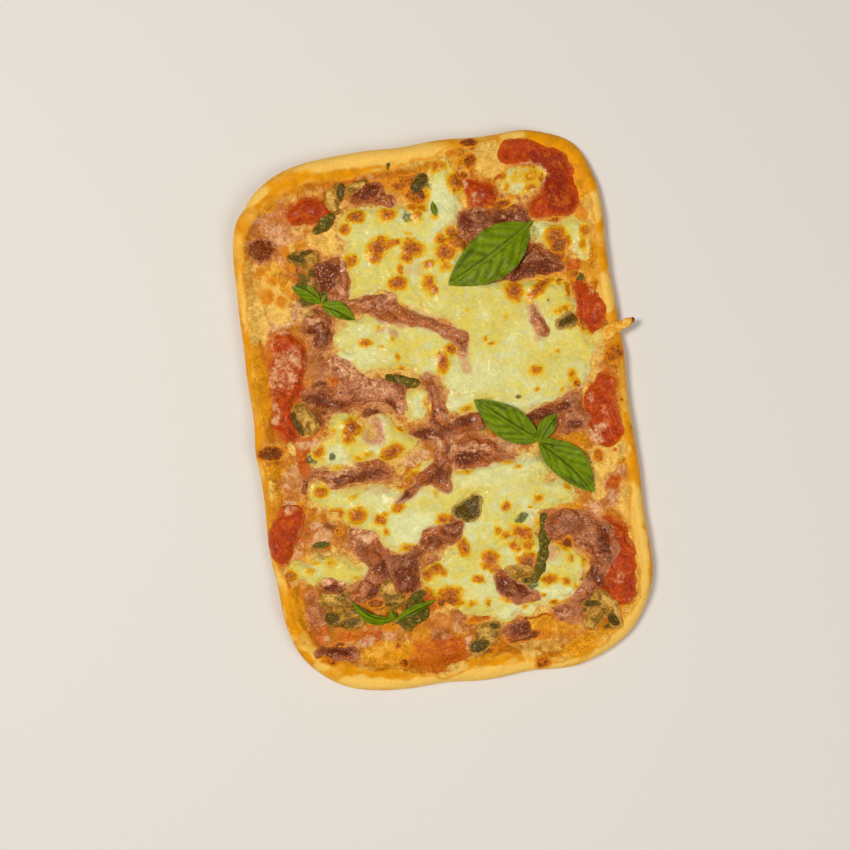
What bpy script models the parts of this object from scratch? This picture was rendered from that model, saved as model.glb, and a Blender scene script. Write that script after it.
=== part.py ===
"""A rectangular baked pizza: puffed dough, tomato, melted cheese, ham, mushrooms and basil.

The dough is a shallow slab with a raised rim. Every topping is a separate piece that lies on
whatever is below it, and follows its bumps. Places and sizes in the tables are millimetres:
X runs across the pizza and Y along it, seen from above. The scene is in metres, +Z up, with the
origin on the underside at the middle of the object's box.
"""

import math

import bmesh
import bpy
import numpy as np
from mathutils import Vector
from mathutils.bvhtree import BVHTree

MM = 0.001

# The dough
WIDTH = 254.0
LENGTH = 363.0
CORNER_RADII = (66.0, 66.0, 50.0, 66.0)
FLOOR_HEIGHT = 8.2
FLOOR_WAVE = 0.7
FOOT_INSET = 3.2
RIM_HEIGHT = 14.6
# Rows of the rim's section, from the foot inwards: inset, height, and share of the rim's own rise
RIM_ROWS = (
    (FOOT_INSET, 0.0, 0.0),
    (0.8, 2.4, 0.1),
    (0.0, 5.4, 0.3),
    (1.0, 9.2, 0.6),
    (4.0, 13.0, 0.9),
    (8.5, RIM_HEIGHT, 1.0),
    (13.5, 12.4, 0.8),
    (19.0, 9.4, 0.3),
)
SIDE_RIM_SHARE = 0.74
DOUGH_CELLS = (34, 48)
# Where the rim is lower or higher than usual: x, y, reach, rise
RIM_CHANGES = (
    (-127.0, -70.0, 34.0, -3.6),
    (-127.0, 40.0, 60.0, -2.4),
    (110.0, 165.0, 45.0, -2.6),
    (0.0, 181.0, 60.0, 1.2),
    (-20.0, -182.0, 70.0, 1.4),
    (127.0, 40.0, 12.0, -2.0),
)
# Where the outline swells outwards: x, y, reach, amount
EDGE_SWELLS = (
    (-128.0, -8.0, 14.0, 1.6),
    (-128.0, -74.0, 26.0, 2.0),
    (-126.0, -122.0, 24.0, -2.4),
    (-113.0, 155.0, 7.0, -1.4),
    (-126.0, 108.0, 30.0, -1.6),
    (128.0, 24.0, 16.0, 1.8),
    (0.0, -183.0, 30.0, 1.4),
    (-70.0, 180.0, 30.0, -1.2),
)
# Blisters baked up in the dough: x, y, reach, rise
DOUGH_BLISTERS = (
    (-105.0, 125.0, 8.0, 2.4),
    (-117.0, -11.0, 8.5, 2.2),
    (120.0, 21.0, 7.0, 1.8),
    (44.0, 174.0, 5.0, 1.2),
    (43.0, -176.0, 5.0, 1.0),
    (-106.0, 94.0, 6.0, 1.2),
)

# How the toppings lie
BOX_MIDDLE = (3.2, -0.6)
GAP = 0.35
RASTER = 1.0
MARGIN = 16.0

# Melted cheese: pools spread along strokes of x, y, radius
CHEESE_THICKNESS = 3.0
CHEESE_EDGE = 0.9
CHEESE_ROUNDING = 7.0
CHEESE_CELL = 8.8
CHEESE_POOLS = {
    "cheese_main": (
        ((-38, 131, 14), (-20, 128, 17), (0, 125, 17), (16, 128, 14)),
        ((18, 132, 14), (22, 150, 11), (22, 159, 8)),
        ((-38, 112, 14), (-36, 98, 14)),
        ((-12, 105, 20), (-6, 90, 17), (10, 95, 20), (26, 105, 15)),
        ((8, 78, 14), (35, 70, 16), (60, 62, 18), (85, 62, 15)),
        ((30, 50, 18), (60, 45, 22), (90, 38, 16), (105, 30, 10)),
        ((20, 24, 18), (45, 18, 20), (70, 15, 20), (94, 17, 12)),
        ((40, 0, 9), (62, 1, 9)),
        ((-53, 58, 12), (-35, 56, 18), (-15, 54, 18), (2, 44, 17)),
        ((-42, 43, 10), (-20, 42, 11), (0, 34, 10)),
    ),
    "cheese_left": (
        ((-66, 0, 10), (-62, -12, 13), (-75, -18, 10), (-86, -19, 7)),
        ((-44, 0, 6), (-40, -6, 9), (-35, -15, 11), (-50, -18, 9)),
        ((-35, -15, 9), (-24, -18, 6)),
    ),
    "cheese_small": (((-18, 9, 8), (-17, 3, 7)), ((-11, 13, 4),)),
    "cheese_lower": (
        ((-90, -42, 7), (-78, -50, 8), (-65, -52, 10), (-50, -53, 11)),
        ((-70, -58, 9), (-60, -68, 8)),
        ((-40, -60, 16), (-42, -78, 13)),
        ((-25, -55, 12), (-28, -70, 14), (-36, -84, 10)),
        ((-26, -42, 9), (-12, -40, 8)),
        ((-12, -58, 12), (5, -52, 11), (25, -50, 12), (45, -48, 12), (60, -45, 10)),
        ((25, -65, 14), (50, -62, 12), (72, -65, 9)),
        ((-20, -68, 10), (-4, -72, 12), (10, -90, 14), (25, -80, 14), (45, -80, 10)),
        ((0, -105, 16), (20, -105, 14), (45, -105, 14)),
        ((-16, -112, 13), (5, -125, 14), (30, -130, 13), (55, -128, 12)),
        ((36, -138, 7), (20, -140, 7)),
        ((62, -112, 14), (74, -115, 8), (68, -128, 8)),
    ),
    "cheese_corner": (((-112, -92, 7), (-98, -94, 9), (-82, -97, 9), (-70, -100, 7)),),
    "cheese_round": (((72, 147, 10), (84, 149, 8)),),
    "cheese_right": (((82, 112, 7), (94, 106, 9), (107, 108, 9), (109, 96, 7)),),
}
# Larger blisters that stand up from the cheese: x, y, reach, rise
CHEESE_BLISTERS = (
    (-26, 116, 7, 1.3), (-5, 110, 7, 1.3), (-17, 90, 6, 1.2), (-38, 137, 6, 1.0), (-62, -3, 7, 1.4),
    (-40, -22, 6, 1.2), (24, 112, 8, 1.2), (12, 108, 5, 0.9), (32, 153, 6, 1.0), (18, -103, 6, 1.2),
    (42, -106, 6, 1.1), (40, -88, 7, 1.2), (-66, -61, 5, 1.0), (-52, -66, 4, 0.8), (75, 76, 7, 1.0),
    (56, -122, 6, 0.9), (8, 37, 7, 0.7), (2, -92, 5, 0.9), (-116, -95, 5, 0.9), (93, 108, 6, 1.2),
)

# Crushed tomato
TOMATO_THICKNESS = 2.9
TOMATO_EDGE = 1.0
TOMATO_ROUNDING = 5.0
TOMATO_CELL = 5.4
TOMATOES = {
    "tomato_1": (((-78, 146, 5.5), (-68, 147, 7), (-60, 146, 6)),),
    "tomato_2": (((41, 146, 5), (50, 141, 7)), ((45, 137, 6),)),
    "tomato_3": (
        ((70, 168, 5.5), (85, 164, 6), (97, 156, 7), (101, 143, 9), (100, 130, 9.5), (88, 130, 7)),
    ),
    "tomato_4": (((104, 74, 3), (108, 64, 5), (110, 53, 7), (111, 47, 6)), ((103, 46, 4),)),
    "tomato_5": (((113, 8, 5), (107, -5, 8), (107, -20, 9), (109, -30, 8)),),
    "tomato_6": (
        ((99, -87, 5), (105, -95, 6), (107, -110, 6), (105, -125, 8), (102, -136, 8)),
        ((94, -128, 5),),
    ),
    "tomato_7": (((-97, 63, 8), (-97, 54, 8), (-99, 42, 9), (-101, 31, 8)),),
    "tomato_8": (((-105, 20, 6), (-106, 8, 7), (-103, 0, 6)),),
    "tomato_9": (((-111, -56, 8), (-116, -68, 9), (-120, -79, 7)),),
}

# Sliced mushrooms
MUSHROOM_THICKNESS = 3.2
MUSHROOM_EDGE = 1.9
MUSHROOM_ROUNDING = 2.2
MUSHROOM_CELL = 4.0
MUSHROOMS = {
    "mushroom_1": (
        ((-46, 160, 3), (-53, 155, 3.6), (-53, 148, 3.4), (-50, 144, 2.4)),
        ((-49, 154, 4), (-38, 158, 3.2), (-30, 160, 2.6)),
    ),
    "mushroom_2": (((-84, 116, 4.2), (-73, 114, 6.4)),),
    "mushroom_3": (((-94, 12, 6.5), (-91, 4, 8)),),
    "mushroom_4": (
        ((77, -138, 4), (88, -140, 5), (95, -147, 4.6), (96, -156, 3.6)),
        ((87, -147, 6), (79, -155, 4.6)),
    ),
    "mushroom_5": (((15, -149, 4.5), (9, -153, 7.5), (2, -160, 5.6)),),
    "mushroom_6": (((88, 49, 5), (94, 53, 6)),),
    "mushroom_7": (((5, -70, 6), (10, -64, 7)),),
    "mushroom_8": (((32, -115, 6), (40, -117, 6)),),
    "mushroom_9": (((-92, -114, 6.5), (-83, -116, 5.5)),),
    "mushroom_10": (((-88, -129, 6.5), (-77, -130, 7.5)),),
    "mushroom_11": (((4, 152, 3.4), (9, 157, 4)),),
    "mushroom_12": (((-52, -111, 6), (-50, -120, 7)),),
}

# Ham, torn and folded
HAM_THICKNESS = 1.7
HAM_EDGE = 0.8
HAM_ROUNDING = 2.5
HAM_FOLD = 0.7
HAM_CELL = 5.5
HAM = {
    "ham_1": (((-37, 151, 2.6), (-28, 153, 5), (-22, 154, 4)), ((-22, 150, 3.6), (-15, 145, 2.8))),
    "ham_2": (((-65, 104, 6.5), (-58, 105, 7), (-57, 95, 7), (-55, 88, 4.6)), ((-67, 96, 4), (-58, 97, 4))),
    "ham_3": (
        ((-52, 81, 3), (-40, 79, 4), (-30, 76, 5), (-22, 72, 4), (-10, 67, 3.5), (2, 61, 3.5)),
        ((2, 61, 3.5), (12, 53, 4), (20, 46, 4.5), (20, 37, 3)),
        ((-35, 79, 3), (-24, 80, 4)),
    ),
    "ham_4": (((-79, 70, 6), (-70, 72, 6), (-68, 62, 6), (-75, 57, 5)),),
    "ham_5": (
        ((-66, 44, 3), (-60, 36, 6), (-50, 24, 6), (-40, 20, 8), (-30, 17, 6), (-27, 8, 4)),
        ((-54, 18, 6), (-66, 18, 7), (-78, 20, 8), (-88, 24, 5)),
    ),
    "ham_6": (
        ((-6, 25, 3), (0, 16, 4), (3, 8, 3.6), (-1, -4, 6), (-5, -12, 6)),
        ((-20, -11, 3), (-12, -13, 4), (0, -14, 5), (12, -10, 5), (23, -9, 5)),
        ((0, -20, 5), (-3, -30, 4.4), (-7, -40, 5), (-4, -50, 3.5)),
        ((-9, -41, 4), (-20, -45, 3), (-28, -52, 3.5), (-37, -57, 2.6)),
    ),
    "ham_7": (
        ((9, -24, 4.5), (17, -24, 6), (26, -28, 6), (35, -33, 4.5), (43, -37, 3)),
        ((11, -34, 6), (24, -35, 5)),
    ),
    "ham_8": (((-78, -36, 3), (-70, -34, 4), (-60, -33, 5), (-50, -32, 5), (-43, -35, 3)),),
    "ham_9": (
        ((-70, -72, 3.4), (-64, -80, 7), (-58, -90, 7), (-48, -97, 5), (-36, -96, 6), (-30, -91, 4)),
        ((-38, -104, 7), (-36, -113, 4)),
        ((-56, -101, 6), (-66, -111, 7), (-74, -114, 4)),
    ),
    "ham_10": (((-23, -87, 3.4), (-18, -84, 6), (-8, -82, 7), (0, -77, 4)), ((-20, -79, 3),)),
    "ham_11": (
        ((63, -84, 5), (72, -82, 6), (84, -86, 7), (94, -95, 7), (98, -106, 6), (92, -117, 5)),
        ((92, -117, 5), (86, -126, 4.5), (78, -134, 4), (71, -138, 3)),
        ((65, -92, 4), (72, -88, 4)),
        ((82, -96, 6), (90, -104, 6)),
    ),
    "ham_12": (((22, -114, 4), (27, -122, 6), (36, -128, 5), (45, -130, 2.6)),),
    "ham_13": (((71, 60, 2.6), (72, 53, 3.2), (74, 46, 3.2)),),
    "ham_14": (((60, 84, 4), (70, 88, 7), (76, 96, 6.5), (84, 89, 6), (92, 84, 3)),),
    "ham_15": (((36, 125, 5), (48, 127, 5), (60, 125, 4), (70, 125, 5), (72, 119, 3)),),
    "ham_16": (((60, -11, 3), (72, -9, 4), (80, -4, 5), (88, -6, 7), (88, -16, 8), (82, -20, 5)),),
    "ham_17": (((-102, -147, 4), (-94, -150, 4), (-84, -152, 4)),),
    "ham_18": (((24, -154, 4), (34, -152, 6)),),
    "ham_19": (((61, -147, 4.4), (71, -146, 5)),),
    "ham_20": (((-92, -105, 5), (-83, -107, 4)),),
}

# Basil that was baked with the pizza, dark and limp
BAKED_BASIL_THICKNESS = 0.9
BAKED_BASIL_CELL = 4.2
BAKED_BASIL = {
    "baked_basil_1": (((-66, 133, 3), (-60, 137, 4), (-54, 141, 2.6)),),
    "baked_basil_2": (((-32, 28, 2.6), (-24, 24, 4.6), (-14, 22, 3)),),
    "baked_basil_3": (((58, -80, 2.6), (57, -93, 3.4), (54, -105, 3.2), (51, -113, 3), (46, -120, 3)),),
    "baked_basil_4": (((-34, -121, 4), (-36, -131, 8), (-40, -137, 4)),),
}

# A crisp horn of cheese that ran out over the rim: x, y, radius
CRISP_HORN = (((112, 37, 3.0), (122, 40, 3.4), (131, 42, 2.6), (135.5, 44, 1.6)),)
CRISP_THICKNESS = 1.8
CRISP_CELL = 3.6

# Fresh basil. A leaf: base x, y, tip x, y, width, arch, fold, sideways bend
LEAF_THICKNESS = 0.5
BUD_RADIUS = 2.0
FRESH_BASIL = {
    "basil_leaf_large": ((None), (((77, 117), (17, 84), 33, 4.0, 0.10, 2.0),)),
    "basil_leaf_small": ((None), (((15, 131), (14, 141), 4, 0.8, 0.20, 0.4),)),
    "basil_sprig_left": (
        (-70, 84),
        (
            ((-70.4, 84.4), (-88, 98), 10, 1.5, 0.25, -1.5),
            ((-69.6, 83.6), (-49, 70), 11, 1.6, 0.20, 1.2),
            ((-69.8, 84.3), (-65, 90), 3, 0.8, 0.20, 0.0),
        ),
    ),
    "basil_sprig_right": (
        (62.4, -28.8),
        (
            ((62.0, -28.7), (23, 5), 22, 4.0, 0.16, 1.0),
            ((62.7, -29.2), (94.5, -68), 23, 4.0, 0.18, 2.6),
            ((62.5, -28.3), (76.5, -12), 11, 2.2, 0.22, 1.0),
            ((62.9, -28.8), (78, -36), 6, 3.0, 0.20, 1.0),
        ),
    ),
    "basil_sprig_bottom": (
        (-51, -134.5),
        (
            ((-51.4, -134.4), (-78, -118), 6.5, 2.4, 0.45, 4.6),
            ((-50.6, -134.4), (-22, -125), 5.5, 2.4, 0.45, 1.0),
        ),
    ),
}


def ripple(x, y, size, seed):
    """A smooth irregular wave between about -1 and 1, with bumps of that size in millimetres."""
    total = 0.0
    for wave in range(5):
        turn = seed + 1.9 * wave
        pitch = 2 * math.pi / size * (0.72 + 0.21 * wave)
        total = total + np.sin(pitch * (x * math.cos(turn) + y * math.sin(turn)) + 2.3 * wave * wave + seed)
    return total / 3.2


def smooth(share):
    """Eases a share from 0 to 1."""
    share = np.clip(share, 0.0, 1.0)
    return share * share * (3 - 2 * share)


def mounds(table, x, y):
    """Summed height of rounded bumps, each given as x, y, reach, rise."""
    total = 0.0
    for bump_x, bump_y, bump_reach, rise in table:
        away = ((x - bump_x) ** 2 + (y - bump_y) ** 2) / bump_reach**2
        total = total + rise * np.exp(-away)
    return total


def reach_inside(strokes, x, y, blend=3.0):
    """How far a point lies inside the union of tapered strokes, in millimetres, negative outside."""
    best = np.full(np.shape(x), -1e3)
    for stroke in strokes:
        ends = list(zip(stroke, stroke[1:])) or [(stroke[0], stroke[0])]
        for (x0, y0, r0), (x1, y1, r1) in ends:
            run = max((x1 - x0) ** 2 + (y1 - y0) ** 2, 1e-6)
            along = np.clip(((x - x0) * (x1 - x0) + (y - y0) * (y1 - y0)) / run, 0, 1)
            away = np.hypot(x - x0 - along * (x1 - x0), y - y0 - along * (y1 - y0))
            inside = r0 + along * (r1 - r0) - away
            meet = np.maximum(blend - np.abs(best - inside), 0) / blend
            best = np.maximum(best, inside) + meet * meet * blend / 4
    return best


def material(name, colour, roughness):
    made = bpy.data.materials.new(name)
    made.use_nodes = True
    shader = made.node_tree.nodes["Principled BSDF"]
    shader.inputs["Base Color"].default_value = (*colour, 1.0)
    shader.inputs["Roughness"].default_value = roughness
    shader.inputs["Metallic"].default_value = 0.0
    return made


class Ceiling:
    """The top of everything laid so far, as heights on a raster in millimetres."""

    def __init__(self):
        self.low_x = -WIDTH / 2 - MARGIN
        self.low_y = -LENGTH / 2 - MARGIN
        size = (int(WIDTH + 2 * MARGIN) + 1, int(LENGTH + 2 * MARGIN) + 1)
        self.height = np.zeros(size)

    def cover(self, obj):
        """Raises the heights to the top of this object."""
        tree = BVHTree.FromObject(obj, bpy.context.evaluated_depsgraph_get())
        corners = [Vector(corner) / MM for corner in obj.bound_box]
        first_x = max(int(min(c.x for c in corners) + BOX_MIDDLE[0] - self.low_x) - 1, 0)
        last_x = min(int(max(c.x for c in corners) + BOX_MIDDLE[0] - self.low_x) + 2, self.height.shape[0] - 1)
        first_y = max(int(min(c.y for c in corners) + BOX_MIDDLE[1] - self.low_y) - 1, 0)
        last_y = min(int(max(c.y for c in corners) + BOX_MIDDLE[1] - self.low_y) + 2, self.height.shape[1] - 1)
        down = Vector((0, 0, -1))
        for i in range(first_x, last_x + 1):
            for j in range(first_y, last_y + 1):
                start = point(self.low_x + i * RASTER, self.low_y + j * RASTER, 100.0)
                hit = tree.ray_cast(start, down)[0]
                if hit is not None:
                    self.height[i, j] = max(self.height[i, j], hit.z / MM)

    def widened(self):
        """The heights with each one raised to its highest neighbour, so that edges are cleared."""
        wide = self.height.copy()
        for step_x in (-1, 0, 1):
            for step_y in (-1, 0, 1):
                wide = np.maximum(wide, np.roll(self.height, (step_x, step_y), axis=(0, 1)))
        return wide

    def sample(self, wide, x, y):
        """Heights of a raster between its points."""
        u = np.clip((x - self.low_x) / RASTER, 0, wide.shape[0] - 1.001)
        v = np.clip((y - self.low_y) / RASTER, 0, wide.shape[1] - 1.001)
        i, j = u.astype(int), v.astype(int)
        du, dv = u - i, v - j
        near = wide[i, j] * (1 - du) + wide[i + 1, j] * du
        far = wide[i, j + 1] * (1 - du) + wide[i + 1, j + 1] * du
        return near * (1 - dv) + far * dv


def point(x, y, z):
    """A place in the tables' millimetres as a place in the scene."""
    return Vector(((x - BOX_MIDDLE[0]) * MM, (y - BOX_MIDDLE[1]) * MM, z * MM))


def grid_object(name, columns, rows):
    """A new flat grid of that many cells, with its mesh in edit data."""
    bpy.ops.mesh.primitive_grid_add(x_subdivisions=columns, y_subdivisions=rows, size=1.0)
    obj = bpy.context.object
    obj.name = obj.data.name = name
    mesh = bmesh.new()
    mesh.from_mesh(obj.data)
    return obj, mesh


def finish_object(obj, mesh, paint, into):
    """Writes the mesh back, shades it and files the object in its collection."""
    bmesh.ops.recalc_face_normals(mesh, faces=mesh.faces[:])
    mesh.to_mesh(obj.data)
    mesh.free()
    obj.data.materials.append(paint)
    obj.data.shade_smooth()
    obj.data.set_sharp_from_angle(angle=math.radians(50))
    for home in list(obj.users_collection):
        home.objects.unlink(obj)
    into.objects.link(obj)
    bpy.context.view_layer.update()
    return obj


def rim_point(side, share, inset):
    """A point of the outline at that inset, share of the way along one side from corner to corner."""
    halves = (WIDTH / 2, LENGTH / 2)
    along = halves[side % 2] - inset
    out = halves[(side + 1) % 2] - inset
    first, last = (
        min(max(CORNER_RADII[(side + n) % 4] - 1.5 * inset, 0.001), along + 0.001, out + 0.001) for n in (0, 1)
    )
    arcs = (first * math.pi / 4, last * math.pi / 4)
    straight = max(2 * along - first - last, 0.0)
    run = share * (arcs[0] + straight + arcs[1])
    if run < arcs[0]:
        turn = math.pi / 4 - run / first
        u, v = -along + first - first * math.sin(turn), out - first + first * math.cos(turn)
    elif run > arcs[0] + straight:
        turn = (run - arcs[0] - straight) / last
        u, v = along - last + last * math.sin(turn), out - last + last * math.cos(turn)
    else:
        u, v = -along + first + run - arcs[0], out
    heading = side * math.pi / 2
    return u * math.cos(heading) + v * math.sin(heading), u * math.sin(heading) - v * math.cos(heading)


def grid_place(i, j, inset):
    """Where a grid point lies on the ring that it belongs to."""
    columns, rows = DOUGH_CELLS
    ring = min(i, columns - i, j, rows - j)
    across, up = columns - 2 * ring, rows - 2 * ring
    if j == ring:
        return rim_point(0, (i - ring) / max(across, 1), inset) if across else (0.0, inset - LENGTH / 2)
    if j == rows - ring:
        return rim_point(2, 1 - (i - ring) / max(across, 1), inset) if across else (0.0, LENGTH / 2 - inset)
    if i == columns - ring:
        return rim_point(1, (j - ring) / up, inset)
    return rim_point(3, 1 - (j - ring) / up, inset)


def floor_height(x, y):
    """Height of the dough's upper face inside the rim."""
    wave = FLOOR_WAVE * (ripple(x, y, 46.0, 0.4) + 0.5 * ripple(x, y, 21.0, 2.0))
    return FLOOR_HEIGHT + wave


def rim_narrowing(x, y):
    """The rim's width as a share, less on the long sides than at the ends."""
    lean = abs(x) / (WIDTH / 2) - abs(y) / (LENGTH / 2)
    return 1 - (1 - SIDE_RIM_SHARE) * smooth(0.5 + lean * 2)


def make_dough(paint, into):
    """The base: one slab with a flat underside, rounded sides and a raised uneven rim."""
    columns, rows = DOUGH_CELLS
    obj, mesh = grid_object("dough", columns, rows)
    rings = columns // 2
    last_inset = RIM_ROWS[-1][0]
    foot = []
    for vert in mesh.verts:
        i = round((vert.co.x + 0.5) * columns)
        j = round((vert.co.y + 0.5) * rows)
        ring = min(i, columns - i, j, rows - j)
        if ring < len(RIM_ROWS):
            inset, height, share = RIM_ROWS[ring]
            edge_x, edge_y = grid_place(i, j, 0.0)
            if inset > 0:
                inset = inset * rim_narrowing(edge_x, edge_y) if ring > 2 else inset
            x, y = grid_place(i, j, inset)
            swell = mounds(EDGE_SWELLS, edge_x, edge_y) + 0.8 * ripple(edge_x, edge_y, 60.0, 1.2)
            outward = Vector((edge_x / WIDTH, edge_y / LENGTH)).normalized() * swell * math.exp(-inset / 12)
            x, y = x + outward.x, y + outward.y
            rise = mounds(RIM_CHANGES, edge_x, edge_y) + 0.6 * ripple(edge_x, edge_y, 34.0, 3.0)
            height = height + share * rise
            if ring == 0:
                foot.append(vert)
            elif ring > 3:
                height = height + mounds(DOUGH_BLISTERS, x, y)
        else:
            step = (WIDTH / 2 - last_inset) / (rings - len(RIM_ROWS) + 1)
            x, y = grid_place(i, j, last_inset + step * (ring - len(RIM_ROWS) + 1))
            height = floor_height(x, y) + mounds(DOUGH_BLISTERS, x, y)
        vert.co = point(x, y, height)
    bmesh.ops.triangulate(mesh, faces=mesh.faces[:])
    bmesh.ops.contextual_create(mesh, geom=[edge for edge in mesh.edges if edge.is_boundary])
    return finish_object(obj, mesh, paint, into)


def settle(mesh, wide, ceiling, start):
    """Bottom heights for a flat triangle mesh, so that no face dips under what lies below it."""
    spots = np.array([vert.co[:2] for vert in mesh.verts])
    height = start
    faces = np.array([[vert.index for vert in face.verts] for face in mesh.faces])
    steps = 6
    weights = np.array(
        [
            (a / steps, b / steps, (steps - a - b) / steps)
            for a in range(steps + 1)
            for b in range(steps + 1 - a)
        ]
    )
    corners = spots[faces]
    tests = np.einsum("wk,fkd->fwd", weights, corners)
    needed = ceiling.sample(wide, tests[..., 0], tests[..., 1]) + GAP
    push = weights / (weights**2).sum(axis=1, keepdims=True)
    for _ in range(14):
        short = needed - np.einsum("wk,fk->fw", weights, height[faces])
        worst = short.argmax(axis=1)
        amount = np.maximum(short[np.arange(len(faces)), worst], 0)
        lift = np.zeros_like(height)
        for corner in range(3):
            np.maximum.at(lift, faces[:, corner], amount * push[worst, corner])
        height = height + lift
    short = (needed - np.einsum("wk,fk->fw", weights, height[faces])).max(axis=1)
    for corner in range(3):
        np.maximum.at(height, faces[:, corner], height[faces[:, corner]] + np.maximum(short, 0))
    return height


def fans_at(vert):
    """The faces round a point, in groups that share edges at it."""
    left, fans = set(vert.link_faces), []
    while left:
        fan = [left.pop()]
        for face in fan:
            for edge in face.edges:
                if vert in edge.verts:
                    beside = left.intersection(edge.link_faces)
                    left -= beside
                    fan.extend(beside)
        fans.append(fan)
    return sorted(fans, key=lambda fan: sum(face.calc_area() for face in fan))


def clean_patch(mesh, least_area):
    """Drops flattened and pinched faces of a flat sheet until one plain patch is left."""
    while True:
        mesh.normal_update()
        drop = {face for face in mesh.faces if face.normal.z * face.calc_area() < least_area}
        if not drop:
            for vert in mesh.verts:
                for fan in fans_at(vert)[:-1]:
                    drop.update(fan)
        if not drop:
            break
        bmesh.ops.delete(mesh, geom=list(drop), context="FACES")
    left, patches = set(mesh.faces), []
    while left:
        patch = [left.pop()]
        for face in patch:
            for edge in face.edges:
                beside = left.intersection(edge.link_faces)
                left -= beside
                patch.extend(beside)
        patches.append(patch)
    for patch in sorted(patches, key=len)[:-1]:
        bmesh.ops.delete(mesh, geom=patch, context="FACES")
    mesh.verts.index_update()
    mesh.verts.ensure_lookup_table()


def lay_slab(name, strokes, cell, thickness_at, relief_at, ceiling, paint, into, wobble=1.0, level=None):
    """A piece with an irregular outline, draped over what is below and then covered into the ceiling."""
    reach = max(radius for stroke in strokes for _, _, radius in stroke) + 2
    low_x = min(x for stroke in strokes for x, _, _ in stroke) - reach
    low_y = min(y for stroke in strokes for _, y, _ in stroke) - reach
    high_x = max(x for stroke in strokes for x, _, _ in stroke) + reach
    high_y = max(y for stroke in strokes for _, y, _ in stroke) + reach
    columns = math.ceil((high_x - low_x) / cell)
    rows = math.ceil((high_y - low_y) / cell)
    obj, mesh = grid_object(name, columns, rows)
    for vert in mesh.verts:
        vert.co = ((vert.co.x + 0.5) * columns * cell + low_x, (vert.co.y + 0.5) * rows * cell + low_y, 0)

    def inside(x, y):
        return reach_inside(strokes, x, y) + wobble * ripple(x, y, 5.5 * cell, low_x)

    spots = np.array([vert.co[:2] for vert in mesh.verts])
    depth = inside(spots[:, 0], spots[:, 1])
    core = depth > 0.35 * cell
    dropped = [face for face in mesh.faces if not any(core[vert.index] for vert in face.verts)]
    for vert, deep in zip(mesh.verts, core):
        if deep:
            continue
        x, y = vert.co.x, vert.co.y
        for _ in range(6):
            here = float(inside(x, y))
            slope_x = float(inside(x + 0.1, y) - inside(x - 0.1, y)) / 0.2
            slope_y = float(inside(x, y + 0.1) - inside(x, y - 0.1)) / 0.2
            steep = max(slope_x**2 + slope_y**2, 0.25)
            x, y = x - here * slope_x / steep, y - here * slope_y / steep
        vert.co.x, vert.co.y = x, y
    bmesh.ops.delete(mesh, geom=dropped, context="FACES")
    bmesh.ops.triangulate(mesh, faces=mesh.faces[:])
    bmesh.ops.remove_doubles(mesh, verts=mesh.verts[:], dist=0.2 * cell)
    clean_patch(mesh, 0.04 * cell * cell)
    x, y = np.array([vert.co[:2] for vert in mesh.verts]).T
    depth = inside(x, y)
    wide = ceiling.widened()
    start = ceiling.sample(wide, x, y) + GAP
    if level is not None:
        start = np.maximum(start, level(x, y))
    start = start + np.maximum(relief_at(x, y), 0)
    bottom = settle(mesh, wide, ceiling, start)
    top = bottom + thickness_at(x, y, depth)
    lower = mesh.verts[:]
    made = bmesh.ops.extrude_face_region(mesh, geom=mesh.faces[:], use_keep_orig=True)
    upper = [item for item in made["geom"] if isinstance(item, bmesh.types.BMVert)]
    tops = {(round(v.co.x, 4), round(v.co.y, 4)): height for v, height in zip(lower, top)}
    for vert in upper:
        vert.co = point(vert.co.x, vert.co.y, tops[(round(vert.co.x, 4), round(vert.co.y, 4))])
    for vert, height in zip(lower, bottom):
        vert.co = point(vert.co.x, vert.co.y, height)
    finish_object(obj, mesh, paint, into)
    ceiling.cover(obj)
    return obj


def no_relief(x, y):
    return np.zeros(np.shape(x))


def edge_profile(edge, full, rounding):
    """Thickness that rises from the edge of a piece to its full value."""
    return lambda depth: edge + (full - edge) * smooth(depth / rounding)


def lay_cheese(ceiling, paint, into):
    profile = edge_profile(CHEESE_EDGE, CHEESE_THICKNESS, CHEESE_ROUNDING)
    for name, strokes in CHEESE_POOLS.items():

        def thickness(x, y, depth):
            sag = 0.35 * ripple(x, y, 26.0, 5.0) * smooth(depth / CHEESE_ROUNDING)
            return profile(depth) + sag + mounds(CHEESE_BLISTERS, x, y) * smooth(depth / 3)

        lay_slab(name, strokes, CHEESE_CELL, thickness, no_relief, ceiling, paint, into, wobble=1.6)


def lay_tomatoes(ceiling, paint, into):
    profile = edge_profile(TOMATO_EDGE, TOMATO_THICKNESS, TOMATO_ROUNDING)

    def thickness(x, y, depth):
        return profile(depth) + 0.45 * ripple(x, y, 13.0, 1.0) * smooth(depth / TOMATO_ROUNDING)

    for name, strokes in TOMATOES.items():
        lay_slab(name, strokes, TOMATO_CELL, thickness, no_relief, ceiling, paint, into, wobble=0.8)


def lay_mushrooms(ceiling, paint, into):
    profile = edge_profile(MUSHROOM_EDGE, MUSHROOM_THICKNESS, MUSHROOM_ROUNDING)
    for name, strokes in MUSHROOMS.items():
        lay_slab(name, strokes, MUSHROOM_CELL, lambda x, y, depth: profile(depth), no_relief, ceiling, paint, into, 0.3)


def lay_ham(ceiling, paint, into):
    profile = edge_profile(HAM_EDGE, HAM_THICKNESS, HAM_ROUNDING)

    def folds(x, y):
        return HAM_FOLD * (1 + ripple(x, y, 15.0, 0.8))

    for name, strokes in HAM.items():
        lay_slab(name, strokes, HAM_CELL, lambda x, y, depth: profile(depth), folds, ceiling, paint, into, wobble=0.5)


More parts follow.
